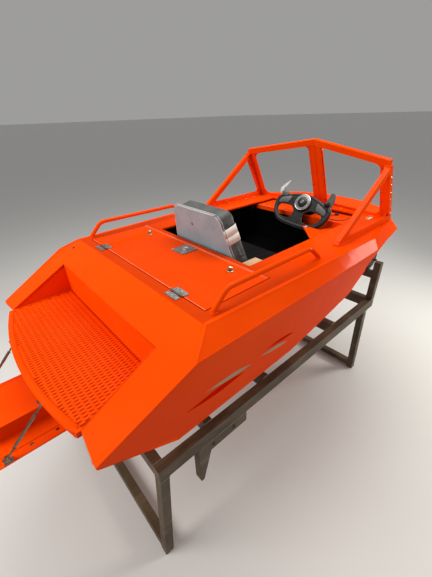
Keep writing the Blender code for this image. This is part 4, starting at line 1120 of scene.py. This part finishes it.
# Switch block opposite it
SWITCH = ((0.168, 0.016), (0.216, 0.020), (0.234, 0.042), (0.204, 0.060), (0.168, 0.048))
loop = curve_path([on_wheel(y, z, -0.010) for y, z in SWITCH], 4, True)
inserts.rings([[p + axle * 0.014 for p in loop], loop, drawn_in(loop, 0.003, 0.16)], True)
inserts.make("wheel_inserts", insert_plastic(), "grip_rubber", "helm")

clamp = Kit()
clamp.turned(on_wheel(-0.188, 0.038, -0.012), turn @ Vector((0, 0.35, 0.94)),
             [(-0.016, 0.013), (-0.014, 0.019), (0.010, 0.019), (0.013, 0.014), (0.013, 0.0)], 18)
clamp.tube([on_wheel(-0.135, 0.026, -0.010), on_wheel(-0.165, 0.020, -0.016), on_wheel(-0.200, 0.004, -0.012),
            on_wheel(-0.226, -0.020, -0.004)], [0.005, 0.008, 0.008, 0.0055], 10)
clamp.make("throttle_clamp", rim_look, "grip_rubber", "helm")

hub_trim = Kit()
for k in range(6):
    a = math.radians(60 * k + 20)
    hub_trim.screw(on_wheel(math.cos(a) * 0.051, math.sin(a) * 0.051, -0.0236), -axle, 0.0042, a)
hub_trim.turned(HUB, -axle, [(0.020, 0.0665), (0.0235, 0.0660), (0.0262, 0.0610), (0.0262, 0.0575),
                             (0.0205, 0.0575)], 40)
hub_trim.make("hub_trim", stainless("hub_chrome", (0.70, 0.70, 0.68), 0.16), "stainless", "helm")
cap = Kit()
cap.turned(HUB, -axle, [(0.0240, 0.040), (0.0290, 0.0395), (0.0325, 0.0340), (0.0345, 0.0220),
                        (0.0350, 0.0)], 32)
cap.make("hub_cap", plate_look, "grip_rubber", "helm")
button = Kit()
button.turned(HUB, -axle, [(0.0340, 0.0150), (0.0362, 0.0140), (0.0366, 0.0100), (0.0356, 0.0060),
                           (0.0356, 0.0)], 24)
button.make("hub_button", stainless("hub_button", (0.30, 0.30, 0.31), 0.22), "stainless", "helm")

# Scrap of clear film on the wheel's upper corner, a crinkled strip: y, z, x
FILM = ((0.226, 0.032, -0.010), (0.238, 0.062, -0.018), (0.224, 0.094, -0.014), (0.202, 0.122, -0.022),
        (0.194, 0.134, -0.026))
film = Kit()
strip = curve_path([on_wheel(*place) for place in FILM])
rows = []
for i, point in enumerate(strip):
    t = i / (len(strip) - 1)
    out = heading(strip, i).cross(axle + Vector((0, 0.3 * math.sin(5 * t), 0))).normalized()
    reach = out * (0.016 * (1 - 0.45 * t) + 0.002 * math.sin(14 * t))
    lift = axle * 0.0012 * math.sin(11 * t)
    left, right, under = point + reach + lift, point - reach - lift, axle * 0.0003
    rows.append([left, point + axle * 0.0004 + reach * 0.1, right, right - under, point - under,
                 left - under])
film.rings(rows, True)
film.make("film_scrap", clear_film(), "grip_rubber", "helm")

boot = Kit()
for i in range(8):
    at = 0.0330 + 0.005 * i
    boot.turned(HUB, axle, [(at, 0.0215), (at + 0.0022, 0.0245), (at + 0.0044, 0.0215)], 20)
boot.make("column_boot", rim_look, "black_liner")


# Windscreen frame: corner plates, flanges and rivets

# Square bars of the side frames: their middle and half width, and how far plates stand off their faces
BAR_Y, BAR_HALF, PROUD = 0.590, 0.015, 0.0002
BAR_IN, BAR_OUT = BAR_Y - BAR_HALF, BAR_Y + BAR_HALF
# How far inboard of the corner the front frame's posts stand, and the thickness of the corner plates
POST_IN, FRONT_T, SIDE_T = 0.038, 0.005, 0.010
CORNER, CENTRE = Vector((1.554, BAR_Y, 0.393)), Vector((1.625, 0.0, 0.485))
BASE, BASE_MID = Vector((1.745, BAR_Y, 0.012)), Vector((1.835, 0.0, 0.012))
FOOT = Vector((1.030, BAR_Y, 0.012))
# Half widths of the front frame's bars in its own plane
LOWER_HALF, UPPER_HALF, POST_HALF, MIDDLE_HALF = 0.0115, 0.019, 0.021, 0.058
plates, rivets, shadow_rings = Kit(), Kit(), Kit()


def gusset(corner, a, b, half_a, half_b, radius, thick, steps=9):
    """Plate that rounds the inner corner between two bars running from it to a and to b."""
    a, b = (a - corner).normalized(), (b - corner).normalized()
    angle = a.angle(b)
    grow_a, grow_b = half_b / math.sin(angle), half_a / math.sin(angle)
    inner = corner + a * grow_a + b * grow_b
    reach = radius / math.tan(angle / 2)
    centre = inner + (a + b).normalized() * (radius / math.sin(angle / 2))
    start = (inner + a * reach - centre).normalized()
    end = (inner + b * reach - centre).normalized()
    side = (end - start * end.dot(start)).normalized()
    outline = [corner, corner + a * (grow_a + reach)]
    for k in range(steps + 1):
        t = start.angle(end) * k / steps
        outline.append(centre + (start * math.cos(t) + side * math.sin(t)) * radius)
    outline.append(corner + b * (grow_b + reach))
    offset = a.cross(b).normalized() * thick
    plates.slab([p - offset / 2 for p in outline], offset)


def shadowed_rivet(spot, normal, radius=0.0046, height=0.0030, seat=0.0066):
    """A rivet on a thin dark ring of radius seat: a painted shadow round its head."""
    rivets.rivet(spot, normal, radius, height)
    shadow_rings.turned(spot, normal, [(-0.0004, seat), (0.0005, seat - 0.0002), (0.0005, 0.0)], 12)


for s in SIDES:
    base, top = mirrored(BASE, s), mirrored(CORNER, s)
    low, high = base - Vector((0, s * POST_IN, 0)), top - Vector((0, s * POST_IN, 0))
    # Front frame's corners. Each row: corner, ends and half widths of the two bars, radius
    for corner, a, b, half_a, half_b, radius in (
            (low, BASE_MID, high, LOWER_HALF, POST_HALF, 0.062),
            (high, CENTRE, low, UPPER_HALF, POST_HALF, 0.056),
            (BASE_MID, low, CENTRE, LOWER_HALF, MIDDLE_HALF, 0.050),
            (CENTRE, high, BASE_MID, UPPER_HALF, MIDDLE_HALF, 0.034)):
        gusset(corner, a, b, half_a, half_b, radius, FRONT_T)
    # Side frame's corners: top, forward and aft
    a = Vector((CORNER.x - 0.015, s * BAR_Y, CORNER.z - 0.062))
    b = Vector((BASE.x - 0.045, s * BAR_Y, BASE.z + 0.024))
    c = Vector((FOOT.x + 0.093, s * BAR_Y, 0.036))
    for corner, first, second, radius in ((a, b, c, 0.016), (b, a, c, 0.028), (c, a, b, 0.012)):
        gusset(corner, first, second, 0.0, 0.0, radius, SIDE_T)
    # Centre post: a plate on each side of the fold
    up = (CENTRE - BASE_MID).normalized()
    wide = (low - BASE_MID).normalized()
    face = up.cross(wide).normalized()
    if face.x > 0:
        face = -face
    foot, head = BASE_MID + up * 0.012, CENTRE - up * 0.020
    outline = [foot + wide * 0.004, foot + wide * 0.058, head + wide * 0.054, head + wide * 0.004]
    plates.slab([p + face * 0.0045 for p in outline], face * 0.0030)
    # Rivets down the centre post, down the corner post's aft face, and along the side frame's foot
    aft = Vector((-1, 0, 0))
    post = (high - low).normalized()
    post_face = (aft - post * aft.dot(post)).normalized()
    for k in range(5):
        spot = foot.lerp(head, 0.08 + 0.215 * k) + wide * 0.046 + face * 0.0076
        shadowed_rivet(spot, face, 0.0050, 0.0032, 0.0072)
        spot = low.lerp(high, 0.10 + 0.20 * k) + Vector((0, -s * 0.0125, 0)) + post_face * 0.0052
        shadowed_rivet(spot, post_face, 0.0048, 0.0032, 0.0068)
        rivets.rivet((FOOT.x + 0.10 + 0.135 * k, s * (BAR_IN - PROUD), 0.020), (0, -s, 0))
    # Rivets down both faces of the side frame's forward bar, and along the base flange
    bar_low, bar_high = Vector((BASE.x - 0.020, 0, BASE.z + 0.020)), Vector((CORNER.x, 0, CORNER.z - 0.045))
    for k in range(6):
        spot = bar_low.lerp(bar_high, 0.06 + 0.165 * k)
        for flip in (1, -1):
            shadowed_rivet(spot + Vector((0, s * (BAR_Y + flip * (BAR_HALF + 0.0001)), 0)), (0, s * flip, 0))
        rivets.rivet((FOOT.x + 0.15 + 0.105 * k, s * 0.560, 0.0034), UP)
    # Corner block under the top bar, and the cover plate on the slanted strut
    y0, y1 = sorted((s * (BAR_IN + PROUD), s * (BAR_OUT - PROUD)))
    plates.block((CORNER.x - 0.027, y0, CORNER.z - 0.0250), (CORNER.x + 0.017, y1, CORNER.z - 0.0135), 0.0010)
    foot, head = Vector((FOOT.x - 0.0003, 0, 0.0124)), Vector((CORNER.x - 0.0203, 0, CORNER.z - 0.0236))
    inner, outer = BAR_IN - PROUD, BAR_OUT + PROUD
    plates.slab([foot.lerp(head, t) + Vector((0, s * y, 0))
                 for t, y in ((0.03, outer), (1.032, outer), (1.032, 0.556), (1.005, 0.566),
                              (0.97, 0.571), (0.93, 0.5735), (0.89, inner), (0.03, inner))],
                (-0.0023, 0, 0.0033))
    # Base flange along the foredeck, inside the side frame
    plates.slab([(x, s * y, 0.0003) for x, y in ((FOOT.x + 0.060, 0.576), (BASE.x - 0.010, 0.576),
                                                 (BASE.x - 0.010, 0.548), (FOOT.x + 0.110, 0.548))],
                (0, 0, 0.0030))
    # Bottom rail's flange on the dash
    a, b = BASE_MID + Vector((-0.012, 0, -0.0117)), base + Vector((-0.012, -s * 0.020, -0.0117))
    back = Vector((-0.030, 0, 0))
    plates.slab([a, b, b + back, a + back], (0, 0, 0.0030))
    for k in range(4):
        rivets.rivet(a.lerp(b, 0.14 + 0.24 * k) + Vector((-0.016, 0, 0.0030)), UP)
plates.make("screen_plates", orange, "orange_paint")
rivets.make("screen_rivets", stainless("rivet_bright", (0.92, 0.86, 0.76), 0.20), "stainless")
# Thin dark rings under the rivets: painted shadow round their heads.
shadow_rings.make("rivet_shadow_rings", rim_look, "grip_rubber")

screen_weld = Kit()
FINE_PITCH = 0.004
for s in SIDES:
    for flip in (1, -1):
        y, z = s * (BAR_Y + flip * (BAR_HALF + 0.0008)), CORNER.z - 0.020
        screen_weld.weld([(FOOT.x + 0.002, y, 0.0020), (FOOT.x + 0.16, y, 0.0020)], 0.0026, FINE_PITCH)
        screen_weld.weld([(CORNER.x - 0.016, y, z), (CORNER.x + 0.010, y, z)], 0.0024, FINE_PITCH)
    screen_weld.weld([CENTRE + Vector((-0.018, 0, -0.004)), CENTRE + Vector((0.018, 0, 0.008))],
                     0.0022, FINE_PITCH)
screen_weld.make("screen_welds", orange, "orange_paint")


# Dash fittings

DASH_Z = -0.0255
fittings = Kit()
for y in (0.30, 0.405, 0.12, -0.20, -0.31, -0.405):
    fittings.screw((1.512, y, DASH_Z), UP, 0.0048, y * 9)
fittings.bolt((1.522, 0.362, DASH_Z), UP, 0.0055, 0.0040)
fittings.bolt((1.318, -0.215, -0.0475), UP, 0.0050, 0.0036)
for x in (1.10, 1.26, 1.42):
    fittings.screw((x, -0.418, -0.0125 - 0.11 * (x - 1.0)), (0.11, 0, 1), 0.0046, x * 5)
fittings.make("dash_screws", steel, "stainless")

switch = Kit()
switch.turned((1.675, -0.240, -0.0258), UP, [(0, 0.017), (0.004, 0.017), (0.006, 0.0135), (0.014, 0.0125),
                                             (0.016, 0.0100), (0.016, 0.0)], 22)
switch.make("switch_socket", rim_look, "grip_rubber")

LANYARD_Z, LANYARD_D = -0.0237, 0.004
LANYARD = (
    (1.6570, -0.2400), (1.6400, -0.2300), (1.6120, -0.2200), (1.5820, -0.2240), (1.5580, -0.2420),
    (1.5450, -0.2690), (1.5450, -0.2990), (1.5580, -0.3260), (1.5820, -0.3440), (1.6120, -0.3500),
    (1.6400, -0.3500), (1.6620, -0.3580), (1.6700, -0.3740), (1.6620, -0.3890), (1.6400, -0.3970),
    (1.6120, -0.3990), (1.5850, -0.4000), (1.5600, -0.4010), (1.5450, -0.4010),
)
route = curve_path([(x, y, LANYARD_Z) for x, y in LANYARD], 4)
cord = Kit()
cord.tube(route, LANYARD_D / 2, 10)
cord_piece = cord.make("lanyard_cord", looks["lanyard_red"], "lanyard_red", replaces=("lanyard",))

# Clip on the cord's end: a coil of wire between two ferrules
CLIP_Y, CLIP_Z, COIL_R = -0.4010, -0.0206, 0.0040
COIL_START, COIL_LONG, COIL_TURNS = 1.5440, 0.034, 9
clip = Kit()
steps = 12 * COIL_TURNS
clip.tube([(COIL_START - COIL_LONG * k / steps, CLIP_Y + COIL_R * math.cos(math.pi * k / 6),
            CLIP_Z + COIL_R * math.sin(math.pi * k / 6)) for k in range(steps + 1)], 0.0011, 6)
for x, profile in ((1.5470, [(0, 0.0), (0, 0.0034), (0.006, 0.0050), (0.008, 0.0040), (0.008, 0.0)]),
                   (1.5110, [(0, 0.0), (0, 0.0042), (0.004, 0.0052), (0.007, 0.0050), (0.008, 0.0)])):
    clip.turned((x, CLIP_Y, CLIP_Z), (-1, 0, 0), profile, 14)
clip_piece = clip.make("lanyard_hook", rim_look, "grip_rubber", replaces=("lanyard_clip",))

bracket = Kit()
for low, high in (((1.640, -0.505, 0.0006), (1.700, -0.480, 0.0050)),
                  ((1.640, -0.484, 0.0006), (1.700, -0.480, 0.0150)),
                  ((1.322, -0.202, -0.0502), (1.346, -0.186, -0.0430))):
    bracket.block(low, high, 0.0012)
bracket.make("cream_bracket", cream_plastic(), "beige_board")

# Edges of the cockpit's opening and of the dash
WELL_X, WELL_Y = (0.4905, 1.50), 0.4202
lip = Kit()
lip.tube([(x, -WELL_Y, -0.0002) for x in (1.002, 1.10, 1.40, WELL_X[1])], 0.0018, 6)
lip.tube([(WELL_X[0], -WELL_Y, -0.0006), (1.0, -WELL_Y, -0.0006)], 0.0020, 6)
lip.tube([(WELL_X[0], WELL_Y, -0.0006), (WELL_X[1], WELL_Y, -0.0006)], 0.0020, 6)
lip.tube([(1.0755, -0.4000, -0.0211), (1.3505, -0.1552, -0.0514), (1.3505, -0.3020, -0.0514),
          (1.5, -0.3020, -0.0680)], 0.0020, 6)
lip.tube([(1.5002, 0.430, -0.0262), (1.5002, -0.430, -0.0262)], 0.0022, 6)
lip.make("cockpit_edges", orange, "orange_paint")


# Jet cover, stays and drive

JET_Z = -0.535
AFT = (-1, 0, 0)
stays, brackets = Kit(), Kit()
for s in SIDES:
    low, high = Vector((-0.745, s * 0.248, -0.5197)), Vector((-0.560, s * 0.255, -0.2993))
    start, stop = low + Vector((0, 0, 0.018)), high - Vector((0, 0, 0.018))
    along = (stop - start).normalized()
    span = (stop - start).length
    for end, axis in ((start, along), (stop, -along)):
        stays.turned(end, axis, [(-0.008, 0.0), (-0.0075, 0.0045), (-0.004, 0.0070), (0.002, 0.0076),
                                 (0.008, 0.0062), (0.012, 0.0044), (0.020, 0.0040), (0.030, 0.0038)])
        for k in range(9):
            at = 0.026 + 0.0032 * k
            stays.turned(end, axis, [(at, 0.0034), (at + 0.0016, 0.0045), (at + 0.0032, 0.0034)], 12)
        stays.turned(end, axis, [(0.0475, 0.0), (0.0475, 0.0074), (0.0530, 0.0074), (0.0530, 0.0)], 6, False)
        stays.turned(end, (0, s, 0), [(-0.011, 0.0), (-0.011, 0.0055), (-0.009, 0.0065), (0.009, 0.0065),
                                      (0.011, 0.0055), (0.011, 0.0)], 12)
    middle = span / 2
    stays.turned(start, along, [(0.0525, 0.0055), (0.060, 0.0068), (middle - 0.022, 0.0072),
                                (middle - 0.019, 0.0060), (middle + 0.019, 0.0060), (middle + 0.022, 0.0072),
                                (span - 0.060, 0.0068), (span - 0.0525, 0.0055)], 18)
    # Each row: end, then foot and top of its plate and of its cheeks, from the end
    for (x, y, z), plate, cheeks in ((low, (-0.0003, 0.0035), (0.0, 0.024)),
                                     (high, (-0.0033, 0.0002), (-0.024, 0.0))):
        brackets.block((x - 0.017, y - 0.013, z + plate[0]), (x + 0.017, y + 0.013, z + plate[1]), 0.0010)
        for side in (y - 0.0105, y + 0.0085):
            brackets.block((x - 0.008, side, z + cheeks[0]), (x + 0.008, side + 0.002, z + cheeks[1]), 0.0008)
stays.make("stay_bodies", stay_look, "stainless", replaces=("stay_port", "stay_stbd"))
brackets.make("stay_brackets", stay_look, "stainless")

cover = Kit()
COVER_X = (-0.7985, -0.302)
for s in SIDES:
    # Beads on the flange's edge, and on the upper and lower bend
    for y, z, radius in ((0.2590, -0.5230, 0.0040), (0.1300, -0.4402, 0.0026), (0.1305, -0.5202, 0.0026)):
        cover.tube([(x, s * y, z) for x in COVER_X], radius)
    cover.block((-0.790, s * 0.200 - 0.015, -0.5204), (-0.320, s * 0.200 + 0.015, -0.5170), 0.0012)
cover.tube([(COVER_X[0], -0.1300, -0.4405), (COVER_X[0], 0.1300, -0.4405)], 0.0026)
cover.make("cover_folds", orange, "orange_paint")

# Transom: its foot, and its rise over its run
TRANSOM_X, TRANSOM_Z, TRANSOM_RISE = -0.18, -0.51, 0.140 / 0.210
bolts = Kit()
for s in SIDES:
    for k in range(5):
        bolts.bolt((-0.760 + 0.105 * k, s * 0.230, -0.5200), UP, 0.0046, 0.0034, 0.1 * k)
    for z in (-0.36, -0.415):
        x = TRANSOM_X - (z - TRANSOM_Z) / TRANSOM_RISE - 0.0002
        for y in (0.20, 0.42, 0.58):
            bolts.bolt((x, s * y, z), TRANSOM_OUT, 0.0055, 0.0040, y)
for k in range(8):
    a = math.radians(45 * k + 22.5)
    y, z = math.cos(a) * 0.0785, JET_Z + math.sin(a) * 0.0785 - 0.002
    bolts.bolt((-0.1003, y, z), AFT, 0.0042, 0.0034, a)
bolts.make("stern_bolts", stay_look, "stainless")

pump = Kit()
pump.turned((-0.101, 0, JET_Z), AFT, [(0.0, 0.0690), (0.0, 0.0880), (0.006, 0.0880), (0.006, 0.0712),
                                      (0.004, 0.0700)], 40)
# Bands round the pump. Each row: forward edge, half width, radius under it and over it
for at, half, under, over in ((0.20, 0.0075, 0.0665, 0.0725), (0.385, 0.0070, 0.0640, 0.0690)):
    pump.turned((0, 0, JET_Z), AFT, [(at, under), (at, over), (at + half, over + 0.0010),
                                     (at + 2 * half, over), (at + 2 * half, under)], 40)
# Four ribs from the flange to the first band
for y, z in circle(4, math.radians(45)):
    pump.slab([(x, y * out - z * 0.003, JET_Z + z * out + y * 0.003)
               for x, out in ((-0.11, 0.068), (-0.11, 0.082), (-0.20, 0.0725), (-0.20, 0.066))],
              (0, z * 0.006, -y * 0.006))
pump.make("pump_ribs", looks["bare_aluminium"], "bare_aluminium")

nozzle = Kit()
nozzle.turned((0, 0, JET_Z), AFT, [(0.548, 0.0405), (0.548, 0.0440), (0.556, 0.0450), (0.562, 0.0435),
                                   (0.562, 0.0340), (0.552, 0.0345)], 36)
nozzle.turned((-0.500, -0.0475, JET_Z), (0, -1, 0),
              [(-0.004, 0.010), (0.008, 0.009), (0.012, 0.0065), (0.012, 0.0)])
nozzle.make("nozzle_trim", looks["bare_aluminium"], "bare_aluminium", "nozzle")

grate = Kit()
for y in (-0.042, -0.021, 0.0, 0.021, 0.042):
    grate.tube([(0.168, y, -0.6330), (0.20, y, -0.6345), (0.38, y, -0.6345), (0.424, y, -0.6330)], 0.0038)
for x in (0.150, 0.424):
    grate.block((x, -0.070, -0.6352), (x + 0.018, 0.070, -0.6318), 0.0010)
grate.make("intake_grate", steel, "stainless")


# Stand: welds, fittings and roll treads

HALF_BEAM, RAIL_H = 0.025, 0.080
STAND_Y, STAND_TOP, STAND_X = 0.575, -0.715, (-0.255, 1.850)
INNER_Y, OUTER_Y, RAIL_LOW = STAND_Y - HALF_BEAM, STAND_Y + HALF_BEAM, STAND_TOP - RAIL_H
FLOOR_Z, LEG_LEAN = -1.47, 0.055
# Each leg frame: its place along the stand, and the way its feet lean
LEGS = ((STAND_X[0], -1), (STAND_X[1] - 0.10, 1))
BEAMS_X, BRACKET_X = (0.06, 0.52, 1.30), (-0.050, 0.300)
# Radii of the beads over a joint and in its corner, and the height of the beads over the rails
BUTT, FILLET, OVER_Z = 0.0038, 0.0034, STAND_TOP + 0.0006
welds = Kit()


def weld_over(x, y, z=OVER_Z, radius=BUTT):
    """A bead over the width of a beam, along the stand."""
    welds.weld([(x - HALF_BEAM, y, z), (x + HALF_BEAM, y, z)], radius)


# Cross beams, then the two end beams
for x in BEAMS_X:
    for s in SIDES:
        y = s * INNER_Y
        for edge in (x - HALF_BEAM, x + HALF_BEAM):
            welds.weld([(edge, y, STAND_TOP + 0.0004), (edge, y, RAIL_LOW - 0.0002)], FILLET)
        weld_over(x, y)
for x in STAND_X:
    for s in SIDES:
        weld_over(x, s * INNER_Y)
for x, way in LEGS:
    # Round the leg's top, then over its foot
    aft, fore, z = x - HALF_BEAM, x + HALF_BEAM, RAIL_LOW - 0.001
    for s in SIDES:
        welds.weld([(aft, s * INNER_Y, z), (fore, s * INNER_Y, z), (fore, s * OUTER_Y, z),
                    (aft, s * OUTER_Y, z), (aft, s * INNER_Y, z)], 0.0042)
    for s in SIDES:
        for z in (FLOOR_Z + 0.020, FLOOR_Z + 0.070):
            weld_over(x + way * LEG_LEAN * (RAIL_LOW - z) / (RAIL_LOW - FLOOR_Z), s * INNER_Y, z)
# Hanging brackets under the rails, and the uprights at the bow with their beam
for s in SIDES:
    for y in (INNER_Y, OUTER_Y):
        welds.weld([(x, s * y, RAIL_LOW - 0.0002) for x in BRACKET_X], FILLET)
        weld_over(STAND_X[1], s * y, OVER_Z, 0.0036)
    for z in (-0.470, -0.520):
        weld_over(STAND_X[1], s * INNER_Y, z, FILLET)
welds.make("stand_welds", weld_metal(), "brown_primer")

ROLL_Y, ROLL_Z = 0.400, -0.370
BOLT_Z, FOOT_HALF = RAIL_LOW - 0.040, 0.0248
steelwork = Kit()
for x, way in LEGS:
    for s in SIDES:
        # Foot plate, and gusset under the rail
        cx, cy = x + way * LEG_LEAN, s * STAND_Y
        steelwork.block((cx - FOOT_HALF, cy - FOOT_HALF, FLOOR_Z + 0.0001),
                        (cx + FOOT_HALF, cy + FOOT_HALF, FLOOR_Z + 0.006), 0.002)
        steelwork.slab([(x + way * (out - HALF_BEAM), s * INNER_Y, RAIL_LOW - drop)
                        for out, drop in ((0, 0.002), (-0.085, 0.002), (-0.070, 0.020), (0.006, 0.100))],
                       (0, -s * 0.006, 0))
for s in SIDES:
    # Bolts through the hanging bracket, then the nut and the pin of each roll
    for x in (0.05, 0.20):
        steelwork.bolt((x, s * OUTER_Y, BOLT_Z), (0, s, 0), 0.0090, 0.0070, x)
        steelwork.bolt((x, s * INNER_Y, BOLT_Z), (0, -s, 0), 0.0090, 0.0070, x + 0.3)
    steelwork.turned((STAND_X[1], s * (ROLL_Y - 0.116), ROLL_Z), (0, -s, 0),
                     [(0, 0.020), (0.006, 0.020), (0.008, 0.014), (0.018, 0.013), (0.018, 0.0)], 6, False)
    steelwork.tube([(STAND_X[1], s * 0.280, ROLL_Z), (STAND_X[1], s * 0.552, ROLL_Z)], 0.010, 14)
steelwork.make("stand_fittings", looks["brown_primer"], "brown_primer", bevel=0.0008)

rolls = Kit()
profile = [(-0.1145, 0.030), (-0.1145, 0.084)]
for k in range(16):
    at = -0.108 + 0.0135 * k
    profile += [(at, 0.0985), (at + 0.003, 0.1015), (at + 0.0075, 0.1015), (at + 0.0105, 0.0985)]
profile += [(0.1145, 0.084), (0.1145, 0.030)]
for s in SIDES:
    rolls.turned((STAND_X[1], s * ROLL_Y, ROLL_Z), (0, 1, 0), profile, 40)
rolls.make("roll_treads", rubber("roll_rubber", (0.018, 0.018, 0.018), 0.62), "grip_rubber")

pads = Kit()
for s in SIDES:
    for x in (0.02, 0.15, 0.28, 0.41, 0.54):
        for y, way in ((0.2995, -s), (0.3805, s)):
            pads.turned((x, s * y, -0.685), (0, way, 0),
                        [(-0.001, 0.010), (0.0010, 0.0095), (0.0040, 0.0070), (0.0044, 0.0)], 12)
pads.make("bunk_bolts", steel, "stainless")

drain = Kit()
drain.turned((-0.2120, 0.300, -0.4625), TRANSOM_OUT, [(-0.001, 0.017), (0.003, 0.017), (0.005, 0.014),
                                                      (0.005, 0.010), (0.011, 0.009), (0.011, 0.0)], 20)
drain.make("drain_plug", stay_look, "stainless")
